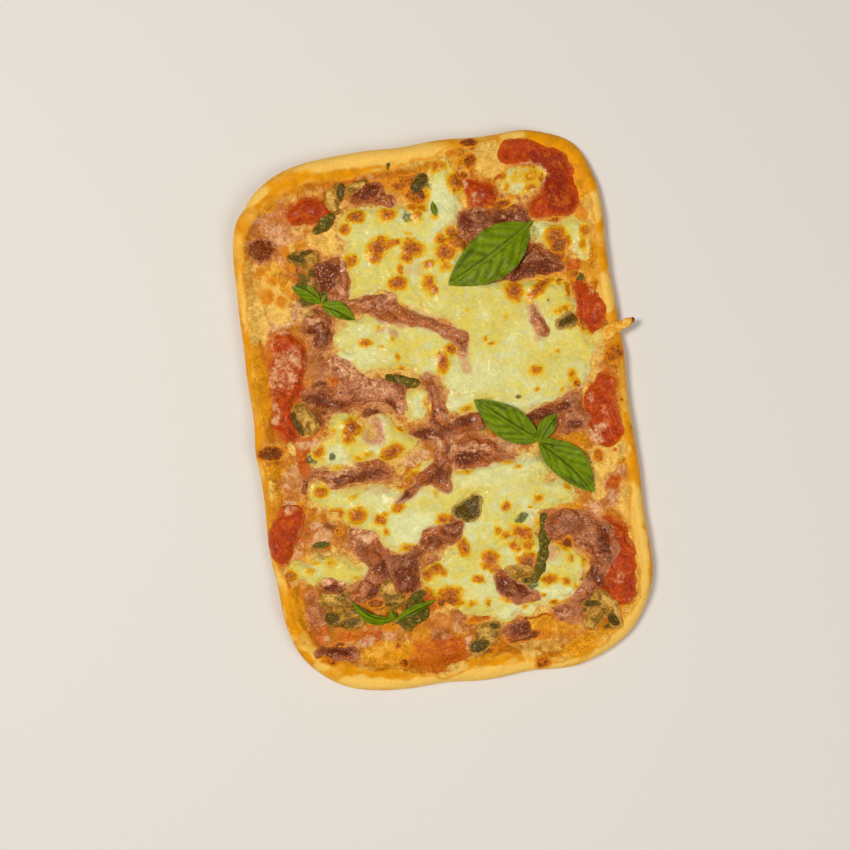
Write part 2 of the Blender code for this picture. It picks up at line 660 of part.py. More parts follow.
def lay_baked_basil(ceiling, paint, into):
    def wilt(x, y):
        return 0.4 * (1 + ripple(x, y, 7.0, 2.6))

    for name, strokes in BAKED_BASIL.items():
        lay_slab(
            name,
            strokes,
            BAKED_BASIL_CELL,
            lambda x, y, depth: np.full(np.shape(x), BAKED_BASIL_THICKNESS),
            wilt,
            ceiling,
            paint,
            into,
            wobble=0.3,
        )


def lay_crisp_horn(ceiling, paint, into):
    """A thin horn that leaves the rim level and juts out past the edge with nothing under its tip."""

    def level(x, y):
        return RIM_HEIGHT - 3.0 - 0.06 * np.maximum(x - WIDTH / 2, 0) + no_relief(x, y)

    lay_slab(
        "crisp_horn",
        CRISP_HORN,
        CRISP_CELL,
        lambda x, y, depth: CRISP_THICKNESS * (0.6 + 0.4 * smooth(depth / 2)),
        no_relief,
        ceiling,
        paint,
        into,
        wobble=0.2,
        level=level,
    )


def leaf_half_width(along):
    """Half the width of a basil leaf as a share, from its base to its tip."""
    return np.sin(np.pi * np.clip(along, 0, 1) ** 0.86) ** 0.8


def make_leaf(name, base, tip, width, arch, fold, bend, ceiling, paint, into):
    """One thin wavy leaf with a folded midrib, resting on what is below it."""
    base, tip = np.array(base, float), np.array(tip, float)
    length = np.linalg.norm(tip - base)
    heading = (tip - base) / length
    across = np.array([-heading[1], heading[0]])
    columns = int(np.clip(round(length / 5.2), 4, 12))
    rows = 2 * int(np.clip(round(width / 9.0), 1, 2))
    obj, mesh = grid_object(name, columns, rows)
    lift = []
    for vert in mesh.verts:
        along, side = vert.co.x + 0.5, 2 * vert.co.y
        half = max(width / 2 * float(leaf_half_width(along)), 0.35)
        sideways = bend * math.sin(math.pi * along) + side * half
        spot = base + heading * length * along + across * sideways
        curl = arch * math.sin(math.pi * min(along * 1.1, 1.0))
        gutter = fold * abs(side) * half * 1.4
        waves = 0.05 * half * side * side * math.sin(along * length * 0.75 + (1.5 if side > 0 else 0))
        lift.append(curl + gutter + waves)
        vert.co = (*spot, 0)
    bmesh.ops.triangulate(mesh, faces=mesh.faces[:])
    mesh.verts.index_update()
    spots = np.array([vert.co[:2] for vert in mesh.verts])
    wide = ceiling.widened()
    under = ceiling.sample(wide, spots[:, 0], spots[:, 1]) + GAP
    terms = np.column_stack([spots, np.ones(len(spots))])
    plane = terms @ np.linalg.lstsq(terms, under, rcond=None)[0]
    start = np.maximum(under, plane + np.array(lift) - 0.5)
    bottom = settle(mesh, wide, ceiling, start)
    lower = mesh.verts[:]
    made = bmesh.ops.extrude_face_region(mesh, geom=mesh.faces[:], use_keep_orig=True)
    upper = [item for item in made["geom"] if isinstance(item, bmesh.types.BMVert)]
    heights = {(round(v.co.x, 4), round(v.co.y, 4)): height for v, height in zip(lower, bottom)}
    for vert in upper:
        height = heights[(round(vert.co.x, 4), round(vert.co.y, 4))] + LEAF_THICKNESS
        vert.co = point(vert.co.x, vert.co.y, height)
    for vert, height in zip(lower, bottom):
        vert.co = point(vert.co.x, vert.co.y, height)
    return finish_object(obj, mesh, paint, into)


def join_sprig(name, bud_place, leaves, ceiling, paint, into):
    """Joins a sprig's leaves at the small bud that they grow from."""
    x, y = bud_place
    bud_area = np.array([[x + dx, y + dy] for dx in (-2, 0, 2) for dy in (-2, 0, 2)], float)
    floor = ceiling.sample(ceiling.widened(), bud_area[:, 0], bud_area[:, 1]).max() + GAP
    top = max((leaf_corner.z for leaf in leaves for leaf_corner in near_corners(leaf, x, y)), default=0) / MM
    top = max(top + 1.2, floor + 2 * BUD_RADIUS)
    middle = point(x, y, (floor + top) / 2)
    bpy.ops.mesh.primitive_uv_sphere_add(segments=8, ring_count=5, radius=1.0, location=middle)
    bud = bpy.context.object
    bud.name = bud.data.name = name
    bud.scale = (BUD_RADIUS * MM, BUD_RADIUS * MM, (top - floor) / 2 * MM)
    bpy.ops.object.transform_apply(location=False, rotation=False, scale=True)
    bud.data.materials.append(paint)
    bud.data.shade_smooth()
    group = bpy.data.collections.new(name + "_leaves")
    for leaf in leaves:
        into.objects.unlink(leaf)
        group.objects.link(leaf)
    bpy.context.scene.collection.children.link(group)
    union = bud.modifiers.new("union", "BOOLEAN")
    union.operation = "UNION"
    union.operand_type = "COLLECTION"
    union.collection = group
    union.solver = "EXACT"
    bpy.context.view_layer.update()
    bpy.context.view_layer.objects.active = bud
    bpy.ops.object.modifier_apply(modifier=union.name)
    for leaf in leaves:
        bpy.data.objects.remove(leaf)
    bpy.data.collections.remove(group)
    for home in list(bud.users_collection):
        home.objects.unlink(bud)
    into.objects.link(bud)
    bpy.context.view_layer.update()
    return bud


def near_corners(leaf, x, y):
    """The leaf's points within the bud."""
    spot = point(x, y, 0).xy
    return [vert.co for vert in leaf.data.vertices if (vert.co.xy - spot).length < BUD_RADIUS * MM]


def lay_fresh_basil(ceiling, paint, into):
    for name, (bud_place, leaf_sizes) in FRESH_BASIL.items():
        leaves = [
            make_leaf(name if bud_place is None else f"{name}_{n}", *sizes, ceiling, paint, into)
            for n, sizes in enumerate(leaf_sizes)
        ]
        if bud_place is not None:
            leaves = [join_sprig(name, bud_place, leaves, ceiling, paint, into)]
        for piece in leaves:
            ceiling.cover(piece)


def main():
    for old in list(bpy.data.objects):
        bpy.data.objects.remove(old)
    pizza = bpy.data.collections.new("pizza")
    bpy.context.scene.collection.children.link(pizza)
    ceiling = Ceiling()
    dough = make_dough(material("baked dough", (0.78, 0.47, 0.10), 0.7), pizza)
    ceiling.cover(dough)
    lay_tomatoes(ceiling, material("tomato", (0.42, 0.06, 0.01), 0.3), pizza)
    lay_cheese(ceiling, material("melted cheese", (0.78, 0.70, 0.20), 0.45), pizza)
    lay_mushrooms(ceiling, material("mushroom", (0.38, 0.22, 0.05), 0.55), pizza)
    lay_baked_basil(ceiling, material("baked basil", (0.07, 0.07, 0.02), 0.5), pizza)
    lay_ham(ceiling, material("ham", (0.33, 0.11, 0.05), 0.4), pizza)
    lay_crisp_horn(ceiling, material("crisp cheese", (0.55, 0.27, 0.05), 0.5), pizza)
    lay_fresh_basil(ceiling, material("fresh basil", (0.12, 0.20, 0.01), 0.45), pizza)


main()
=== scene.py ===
"""Looks of a rectangular baked pizza: puffed dough, tomato, melted cheese, ham, mushrooms and basil.

Places and sizes in the tables are millimetres on the pizza seen from above, X across and Y along.
"""

import math

import bpy
import numpy as np
from bpy.props import FloatProperty, FloatVectorProperty
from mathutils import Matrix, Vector


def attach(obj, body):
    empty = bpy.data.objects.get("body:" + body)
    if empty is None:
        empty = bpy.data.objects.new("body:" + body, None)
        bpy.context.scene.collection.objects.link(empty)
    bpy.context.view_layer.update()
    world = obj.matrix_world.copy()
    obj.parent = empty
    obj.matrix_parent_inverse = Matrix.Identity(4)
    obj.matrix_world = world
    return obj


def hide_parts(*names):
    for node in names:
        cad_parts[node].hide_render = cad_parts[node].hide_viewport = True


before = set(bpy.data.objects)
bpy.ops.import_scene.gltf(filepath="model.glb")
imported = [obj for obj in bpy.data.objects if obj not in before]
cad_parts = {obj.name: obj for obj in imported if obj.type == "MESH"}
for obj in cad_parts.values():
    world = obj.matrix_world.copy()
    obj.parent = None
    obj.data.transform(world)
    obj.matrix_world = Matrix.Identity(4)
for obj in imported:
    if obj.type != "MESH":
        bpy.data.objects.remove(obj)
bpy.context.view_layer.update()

bl_info = {
    "name": "Ham and Mushroom Pizza",
    "version": (1, 0, 0),
    "blender": (4, 5, 0),
    "location": "3D View > Sidebar > Pizza",
    "description": "Builds a rectangular baked pizza with its toppings over the solids of the part",
    "category": "Add Mesh",
}

MM = 0.001
BOX_MIDDLE = (3.2, -0.6)

# The dough, close to the part's
WIDTH = 254.0
LENGTH = 363.0
CORNER_RADII = (66.0, 66.0, 50.0, 66.0)
FLOOR_HEIGHT = 8.2
FLOOR_WAVE = 0.7
RIM_HEIGHT = 14.6
RIM_ROWS = (
    (3.2, 0.0, 0.0),
    (0.8, 2.4, 0.1),
    (0.0, 5.4, 0.3),
    (1.0, 9.2, 0.6),
    (4.0, 13.0, 0.9),
    (8.5, RIM_HEIGHT, 1.0),
    (13.5, 12.4, 0.8),
    (19.0, 9.4, 0.3),
)
SIDE_RIM_SHARE = 0.74
DOUGH_CELLS = (250, 352)
RIM_RINGS = 32
SIDE_ROWS = 2.6
SWELL_REACH = 12.0
FLAT_FROM = 14.0
FLAT_BLEND = 8.0
TOP_FROM = 5.0
FILM_FROM = 8.5
FILM_BLEND = 4.0
RIM_CHANGES = (
    (-127.0, -70.0, 34.0, -3.6),
    (-127.0, 40.0, 60.0, -2.4),
    (110.0, 165.0, 45.0, -2.6),
    (0.0, 181.0, 60.0, 1.2),
    (-20.0, -182.0, 70.0, 1.4),
    (127.0, 40.0, 12.0, -2.0),
)
EDGE_SWELLS = (
    (-128.0, -8.0, 14.0, 1.6),
    (-128.0, -74.0, 26.0, 2.0),
    (-126.0, -122.0, 24.0, -1.7),
    (-113.0, 155.0, 7.0, -1.4),
    (-126.0, 108.0, 30.0, -1.6),
    (128.0, 24.0, 16.0, 1.8),
    (113.0, 167.0, 15.0, 1.9),
    (-52.0, 182.0, 15.0, 1.0),
    (58.0, -182.0, 14.0, 1.2),
    (0.0, -183.0, 30.0, 1.4),
    (-70.0, 180.0, 30.0, -1.2),
)
DOUGH_BLISTERS = (
    (-105.0, 125.0, 8.0, 2.4),
    (-117.0, -11.0, 8.5, 2.2),
    (120.0, 21.0, 7.0, 1.8),
    (44.0, 174.0, 5.0, 1.2),
    (43.0, -176.0, 5.0, 1.0),
    (-106.0, 94.0, 6.0, 1.2),
)

# Patches of tone, here and further on: x, y, half length, half width, strength, and any turn in degrees
CREAM_PATCHES = (
    (-26, 176, 46, 6, 1.1), (10, 170, 22, 4, 0.9, 8), (73, 176, 8, 3.5, 1.3), (-115, 81, 8, 18, 1.2),
    (-100, 88, 9, 14, 1.0, 10), (-108, 100, 6, 9, 0.7), (-84, 123, 3, 4, 0.8), (-60, 126, 8, 12, 0.8),
    (-76, 136, 9, 5, 0.45), (121, 64, 5, 13, 1.2), (118, -80, 8, 16, 1.0), (119, -108, 6, 16, 1.0),
    (116, -132, 6, 12, 0.9, 10), (112, -150, 14, 6, 1.1, 52), (92, -169, 20, 6, 1.1, 30),
    (30, -178, 44, 4, 0.9), (-22, -178, 40, 5, 1.1), (-75, -173, 24, 5, 0.9, -10), (-103, -157, 5, 4, 0.9),
    (37, -169, 7, 3.5, 1.1), (98, -1, 3, 5, 0.8), (-103.5, -10, 2.6, 5, 1.1), (-88, -39, 10, 5, 0.8),
    (103, -48, 11, 11, 1.1), (65, 134, 7, 5, 0.8), (92, 153, 4, 5, 0.7, 30), (-10, 150, 12, 4, 0.5, -20),
    (56, 164, 11, 13, 1.0), (-52, 146, 6, 3, 0.5, 20), (34, 142, 3, 8, 0.8, 10), (62, -38, 3, 8, 0.6),
    (-47, 110, 4, 14, 0.5), (-82, 78, 8, 7, 0.4), (-60, -38, 20, 4, 0.4), (-121, -34, 4, 9, 0.5),
    (-104, 160, 12, 4, 0.9, 32), (-40, 31, 12, 3, 0.5, -10), (52, -166, 7, 5, 0.7), (94, -61, 6, 6, 1.2),
    (-47, 86, 6, 4, 1.0), (107, 11, 4, 7, 0.9), (-78, -29, 7, 2.5, 1.0), (-13, -171, 8, 3, 1.0),
    (98, -69, 5, 5, 1.2), (-5, 3, 4, 4, 1.0), (-30, 84, 7, 3, 1.1), (120, 122, 6, 10, 1.2),
    (-117, 106, 5, 9, 0.6), (116, -42, 5, 6, 0.9), (-70, 127, 5, 5, 1.0), (-33, -35, 4, 3, 0.9),
    (83, -119, 3, 4, 0.8),
)
GOLD_PATCHES = (
    (-45, 168, 24, 3.6, 1.3), (-78, 167, 9, 7, 0.8), (-112, 150, 6, 18, 0.6, -25), (-120, 40, 7, 40, 0.7),
    (-120, 105, 5, 26, 0.6), (-100, 96, 12, 18, 0.8), (-118, 22, 5, 9, 1.3), (-122, 50, 3, 6, 1.2),
    (-117, -24, 5.5, 4.6, 1.4), (-119, -45, 6, 14, 0.5), (-117, -120, 6, 16, 1.1),
    (-114, -151, 5, 7, 1.3, 20), (-100, -161, 14, 3, 0.7, -25), (115, 152, 9, 22, 1.4),
    (101, 168, 16, 8, 1.4, -30), (62, 175, 26, 4, 0.8), (117, 86, 8, 12, 1.3), (105, 106, 12, 14, 0.6),
    (121, 120, 4, 20, 0.4), (120, -30, 5, 12, 1.4), (122, -50, 4, 12, 0.9), (112, -44, 5, 8, 0.7),
    (85, -34, 12, 8, 0.6), (108, -150, 8, 8, 0.6), (75, -168, 22, 7, 0.9, 18), (45, -151, 10, 6, 0.8),
    (8, -169, 15, 3.6, 1.5), (120, 30, 6, 14, 0.4), (-58, -157, 18, 8, 0.8), (-35, -147, 7, 6, 0.6),
    (82, 78, 16, 6, 0.6, 20), (22, 165, 30, 3, 0.6), (-80, 126, 9, 3, 0.6, -10), (-95, -40, 5, 6, 0.5),
    (60, -156, 14, 8, 0.5), (-60, -169, 30, 1.6, 0.6, -8), (-12, 156, 14, 5, 0.6), (75, -73, 12, 4, 0.5),
    (45, -180, 30, 3, 0.6), (-14, 168, 60, 1.6, 0.8), (90, -50, 4, 6, 0.4), (-107, 105, 5, 8, 0.6),
    (-109, -85, 6, 4, 0.8), (78, -76, 7, 4, 0.7), (121, 139, 4, 8, 1.2), (-97, 155, 8, 5, 1.1, 30),
)
SALMON_PATCHES = (
    (-92, 142, 20, 16, 0.9), (-78, 125, 22, 22, 0.7), (-100, 112, 8, 8, 0.5), (-80, 88, 14, 16, 0.5),
    (-76, 40, 18, 16, 0.6), (-94, -12, 10, 22, 0.8), (-106, -33, 10, 12, 0.9), (-92, -70, 18, 9, 0.9),
    (-75, -76, 9, 12, 0.7), (-66, -145, 14, 8, 0.9), (-98, -142, 8, 7, 0.6), (-40, -152, 16, 8, 0.4),
    (110, -66, 10, 12, 1.0, -10), (102, -75, 7, 6, 0.7), (110, 14, 10, 8, 0.6), (66, 150, 8, 14, 0.5),
    (72, 136, 14, 8, 0.8), (88, 160, 8, 5, 0.5), (66, -163, 16, 7, 0.6), (68, -148, 14, 6, 0.6),
    (-20, 165, 20, 4, 0.6), (-5, 158, 12, 5, 0.5), (40, 132, 10, 8, 0.6), (-16, -137, 14, 8, 0.7),
    (112, 45, 8, 6, 0.4), (-50, 150, 14, 8, 0.5), (-50, 20, 30, 20, 0.5), (-10, -20, 30, 24, 0.6),
    (-50, -35, 34, 9, 0.7), (-15, -92, 14, 14, 0.6), (85, -90, 18, 26, 0.5), (102, -30, 8, 6, 0.6),
    (-62, 100, 12, 18, 0.5), (-78, 8, 8, 6, 0.6), (35, -30, 26, 10, 0.6), (-105, 62, 12, 30, 0.8),
)
MEAT_PATCHES = (
    (-104, -120, 6, 18, 0.9), (-80, 42, 9, 13, 1.1), (-92, -150, 15, 5, 1.0, -6), (-8, -139, 5, 6, 1.0, 20),
    (33, -158, 8, 3, 0.6), (-72, -74, 8, 7, 0.9, -30), (68, -149, 9, 6, 0.7), (64, -80, 8, 5, 0.9),
    (-60, -119, 8, 4, 0.9), (-92, -106, 10, 5, 0.8), (-45, 6, 9, 4, 0.8), (-72, 10, 12, 5, 0.8),
    (-74, 58, 10, 8, 0.6), (-66, 92, 6, 10, 0.7), (-3, -146, 5, 4, 0.7), (66, 128, 8, 5, 0.6),
    (90, 95, 5, 8, 0.5, 20), (-102, -53, 4.5, 6, 0.8), (-30, -38, 7, 8, 0.8, -30), (-20, -100, 9, 5, 0.8),
    (92, -90, 8, 6, 0.6), (82, -20, 9, 6, 0.6), (-22, -148, 8, 5, 0.9), (-85, -66, 6, 2.6, 1.4, -35),
    (-98, -67, 9, 1.6, 0.8, 14), (-105, 125, 8.5, 7.5, 2.0), (-83, 12, 8, 4, 1.7), (-75, 78, 7, 4, 1.3),
    (-48, 7, 7, 3, 1.6), (-97, -122, 6, 9, 1.2), (-77, 77, 6, 4, 1.6), (63, 130, 7, 3, 1.7),
    (-79, 29, 6, 3, 1.5), (-82, 5, 4, 5, 1.4), (-52, -139, 6, 3, 1.4), (-85, 111, 4, 5, 1.3),
)
HAZE_PATCHES = (
    (-110, -48, 5.5, 4, 1.1), (-92, -9, 9, 4, 0.8), (-92, -72, 6, 4.5, 1.1), (-101, 73, 12, 2.6, 1.1, 5),
    (-55, 34, 22, 4.5, 1.0, -35), (-45, 18, 15, 9, 0.8), (-4, -157, 3, 7, 0.9), (-98, -140, 2.6, 2, 1.1),
    (-72, -146, 8, 4, 0.7), (100, -25, 4, 11, 0.9), (97, 2, 3, 5, 1.0), (42, -26, 10, 6, 0.7, -10),
    (-22, -28, 11, 4, 0.8, 15), (106, -72, 5, 6, 0.7), (-111, -78, 6, 9, 0.8), (-109, -30, 4, 8, 0.6),
    (-96, -64, 5, 2, 0.9), (112, -56, 6, 4, 0.7), (-92, 134, 15, 9, 0.6, -20), (-102, 56, 6, 14, 0.6),
    (70, 128, 8, 4, 0.6), (92, -77, 7, 6, 0.6), (66, -142, 8, 3, 0.8), (-50, 96, 4, 10, 0.7),
    (22, -24, 8, 6, 0.4), (-70, -56, 5, 3, 0.4), (-106, 4, 3, 5, 0.5), (-10, -146, 4, 4, 0.7),
    (107, 10, 4, 7, 1.0), (-66, 46, 5, 4, 0.9), (-87, 81, 6, 6, 0.9),
)
RED_PATCHES = (
    (-100, 45, 18, 27, 0.85), (-102, 12, 8, 16, 1.3), (-97, -18, 4.4, 13, 1.4),
    (-110, -68, 12, 18, 0.6, 20), (-128, -78, 4, 10, 1.1), (-103, -68, 11, 2.8, 1.3, 12),
    (-22, -162, 15, 12, 1.4), (-12, -159, 9, 6, 1.3), (-38, -160, 10, 9, 1.0), (-25, -124, 6, 9, 1.2),
    (-68, -143, 8, 5, 1.2), (-102, -128, 7, 22, 0.8), (98, 166, 10, 8, 0.5, -20), (102, 86, 5, 4.5, 1.3),
    (109, -64, 6, 6, 0.9), (100, -76, 5, 4, 0.5), (66, -162, 3, 6, 0.9), (-78, 148, 14, 8, 0.5),
    (-83, 104, 6, 7, 0.7), (-90, 60, 8, 20, 0.4), (56, 132, 5, 5, 0.6), (109, -98, 6, 30, 0.5),
    (95, -142, 10, 6, 0.5), (32, -146, 12, 3, 0.6), (-5, -146, 14, 7, 0.4), (-66, 31, 5, 4, 1.0),
    (43, -154, 8, 5, 0.6), (104, 45, 6, 5, 0.6), (-94, -7, 6, 3, 0.8, 20), (-78, -68, 6, 3, 0.6, -20),
    (60, -151, 4, 3, 0.7), (-20, -142, 8, 4, 0.5), (-85, -141, 9, 4, 1.0), (-39, 163, 6, 2.5, 0.9),
    (-121, -101, 3, 6, 0.9),
)
BROWN_AND_SHADOW_PATCHES = (
    (120, 22, 6, 8, 0.8, -30), (32, 171, 4, 2.5, 0.6), (44, -176, 5.5, 5, 0.85), (-106, 94, 5, 5, 0.5),
    (-100, 104, 4, 4, 0.5), (-97, 89, 4, 4, 0.6), (-86, 112, 4, 6, 0.4), (26, -168, 6, 2, 0.4, -45),
    (43, -158, 7, 4, 0.65), (-14, -122, 9, 5, 0.8), (-102, -51, 4, 5, 0.7), (-84, -15.5, 3.4, 4, 1.0),
    (-80, -71, 3, 2.5, 0.8), (-61, -122, 4, 2.6, 1.0), (-52, -152, 2.6, 2, 0.9), (-50, -164, 3.4, 2, 0.9),
    (100, -44, 4, 4.6, 0.8), (9, -141, 3, 2.6, 0.9), (43, 164, 4, 5, 0.9), (-7, 155, 5, 4, 0.8),
    (92, 94, 4, 8, 0.5, 30), (101, 70, 2.5, 8, 0.7, 10), (-90, 122, 3, 5, 0.5), (70, 140, 7, 4, 0.5, 30),
    # The thin stroke at 40, -146 is painted shadow under the lower edge of the cheese; the rest are browned
    # spots
    (28, 108, 16, 14, 0.8), (40, -146, 20, 1.1, 1.1, 3), (82, -142, 14, 3, 0.6), (-86, -42, 3, 3, 0.8),
    (-64, -148, 3, 2, 0.5), (2, 158, 10, 4, 0.8), (-20, 158, 10, 3, 0.6), (113, 107, 4, 4, 0.5),
    (70, -98, 6, 5, 0.6), (3, 147, 7, 5, 0.8, -20), (-117, -157, 4, 2, 0.8), (60, 150, 1.2, 8, 0.8, -50),
    (121, -9, 1.2, 1.2, 1.0), (125, -28, 1, 1, 0.9), (112, -42, 0.9, 1.2, 0.9), (-100, -150, 8, 3, 0.7),
    (86, -34, 5, 3, 0.5), (31, -158, 10, 3, 1.0), (-98, -155, 7, 3, 0.7, -8), (-65, -121, 4, 3, 1.0),
    (5, -142, 8, 3, 0.7), (101, 79, 3, 3, 0.9), (59, 133, 8, 3, 0.9), (8, -163, 7, 2.5, 0.8),
    (-54, -139, 7, 2.5, 0.6), (94, 93, 4, 4, 0.8), (113, 119, 4, 8, 0.4), (36, -158, 7, 3, 1.6),
    (-19, -127, 4, 4, 0.9), (37, 156, 3, 4, 0.8), (8, 148, 4, 3, 1.2), (-117, -11.5, 10, 5, 1.1),
    (44, 176, 6, 3, 1.1), (71, -101, 4, 4, 1.3), (-91, -146, 6, 2, 0.9, -8), (93, 117, 5, 3, 0.9),
)
OLIVE_AND_SHADOW_PATCHES = (
    (-93, -77, 6, 2, 1.2), (-95, -81, 8, 3, 0.5), (-80, 100, 5, 7, 0.8), (-78, 88, 7, 4, 0.9),
    (-92, -19, 2.8, 3.2, 1.3), (104.5, 78, 3.6, 3.2, 1.3), (100, 71, 2, 4, 0.7), (105, 39, 3, 2, 0.8),
    (-12, 168, 1.2, 3, 0.9, -20), (90, 98, 4, 8, 0.5, 30), (68, -36, 4, 4, 0.4), (-95, -112, 6, 4, 0.4),
    (-95, -132, 4, 8, 0.5), (26, -14, 3, 4, 0.7), (-66, 134, 6, 3, 0.5, 25), (-50, 158, 3, 4, 0.4),
    (40, -28, 7, 4, 0.45), (22, -16, 7, 3, 0.5), (-55, 17, 2, 1.6, 0.9), (-45, -136, 5, 4, 1.2),
    # The patch at 92, -158 is painted shadow at the edge of a mushroom slice; the rest are dark herb and
    # olive-coloured film
    (-71, 99, 3, 5, 0.8), (78, -145, 4, 3, 0.9), (92, -158, 5, 2.5, 0.9, 20), (-62, -121, 4, 3, 0.7),
    (102, 79, 3, 3, 1.1), (-51, -138, 5, 2.5, 0.9), (-73, 106, 3, 4, 1.0), (-82, 87, 5, 5, 0.8),
    (-61, -124, 4, 3, 1.1), (-68, 91, 3, 4, 1.0), (-30, -119, 3, 3, 0.9), (-43, -140, 5, 2.5, 0.8),
)
DOUGH_PATCHES = {
    "gold": GOLD_PATCHES,
    "salmon": SALMON_PATCHES,
    "red": RED_PATCHES,
    "cream": CREAM_PATCHES,
    "olive_and_shadow": OLIVE_AND_SHADOW_PATCHES,
    "brown_and_shadow": BROWN_AND_SHADOW_PATCHES,
    "haze": HAZE_PATCHES,
    "meat": MEAT_PATCHES,
}

# Where film and sauce run nearer to the edge, or stop short of it: x, y, reach, amount
FILM_PUSHES = (
    (-127, 40, 60, 4.0), (-127, -60, 50, 6.0), (108, 158, 24, -5.5), (-22, -172, 16, 6.0),
    (60, 172, 36, 5.0), (118, -100, 30, -5.0), (100, -165, 30, 1.0), (-30, 174, 50, -6.0),
    (-110, 155, 26, -3.0), (124, 20, 26, 4.0), (-70, -174, 30, -5.0), (12, -178, 18, -5.0),
    (55, -168, 20, 6.0), (120, 60, 20, -3.0), (-116, -130, 24, -5.0), (-102, -155, 16, -3.0),
)

# Melted cheese, close to the part's
CHEESE_THICKNESS = 3.0
CHEESE_ROUNDING = 7.0
CHEESE_POOLS = {
    "cheese_main": (
        ((-38, 131, 14), (-20, 128, 17), (0, 125, 17), (16, 128, 14)),
        ((18, 132, 14), (22, 150, 11), (22, 159, 8)),
        ((-38, 112, 14), (-36, 98, 14)),
        ((-12, 105, 20), (-6, 90, 17), (10, 95, 20), (26, 105, 15)),
        ((8, 77, 14), (35, 70, 16), (60, 62, 18), (85, 62, 15)),
        ((68, 67, 13), (84, 67, 13)),
        ((24, 150, 9), (30, 152, 7.5)),
        ((30, 50, 18), (60, 45, 22), (88, 38, 15), (103, 29, 9)),
        ((20, 24, 18), (45, 18, 20), (70, 15, 20), (94, 17, 12)),
        ((40, 0, 9), (62, 1, 9)),
        ((12, 4, 8), (22, 6, 10)),
        ((-60, 46, 7), (-50, 44, 9)),
        ((-47, 89, 6), (-40, 92, 8)),
        ((-53, 58, 12), (-35, 56, 18), (-15, 54, 18), (2, 44, 17)),
        ((-42, 43, 10), (-20, 42, 11), (0, 34, 10)),
    ),
    "cheese_left": (
        ((-66, 0, 10), (-62, -12, 13), (-75, -18, 10), (-86, -19, 7)),
        ((-44, 0, 6), (-40, -6, 9), (-35, -15, 11), (-50, -18, 9)),
        ((-35, -15, 9), (-24, -18, 6)),
    ),
    "cheese_small": (((-18, 9, 8), (-17, 3, 7)), ((-11, 13, 4),)),
    "cheese_lower": (
        ((-90, -42, 7), (-78, -50, 8), (-65, -52, 10), (-50, -53, 11)),
        ((-70, -58, 9), (-60, -68, 8)),
        ((-40, -60, 16), (-42, -78, 13)),
        ((-25, -55, 12), (-28, -70, 14), (-36, -84, 10)),
        ((-26, -42, 9), (-12, -40, 8)),
        ((-12, -58, 12), (5, -52, 11), (25, -50, 12), (45, -48, 12), (60, -45, 10)),
        ((25, -65, 14), (50, -62, 12), (72, -65, 9)),
        ((-20, -68, 10), (-4, -72, 12), (10, -90, 14), (25, -80, 14), (45, -80, 10)),
        ((0, -105, 16), (20, -105, 14), (45, -105, 14)),
        ((-16, -112, 13), (5, -125, 14), (30, -130, 13), (55, -128, 12)),
        ((36, -138, 7), (20, -140, 7)),
        ((62, -112, 14), (74, -115, 8), (68, -128, 8)),
    ),
    "cheese_corner": (((-112, -92, 7), (-98, -94, 9), (-82, -97, 9), (-70, -100, 7)),),
    "cheese_round": (((72, 147, 10), (84, 149, 8)),),
    "cheese_right": (((82, 112, 7), (94, 106, 9), (107, 108, 9), (109, 96, 7)),),
}
CHEESE_BLISTERS = (
    (-26, 116, 7, 1.3), (-5, 110, 7, 1.3), (-17, 90, 6, 1.2), (-38, 137, 6, 1.0), (-62, -3, 7, 1.4),
    (-40, -22, 6, 1.2), (24, 112, 8, 1.2), (12, 108, 5, 0.9), (32, 153, 6, 1.0), (18, -103, 6, 1.2),
    (42, -106, 6, 1.1), (40, -88, 7, 1.2), (-66, -61, 5, 1.0), (-52, -66, 4, 0.8), (75, 76, 7, 1.0),
    (56, -122, 6, 0.9), (8, 37, 7, 0.7), (85, 62, 15, 1.6), (2, -92, 5, 0.9), (-116, -95, 5, 0.9),
    (93, 108, 6, 1.2),
)
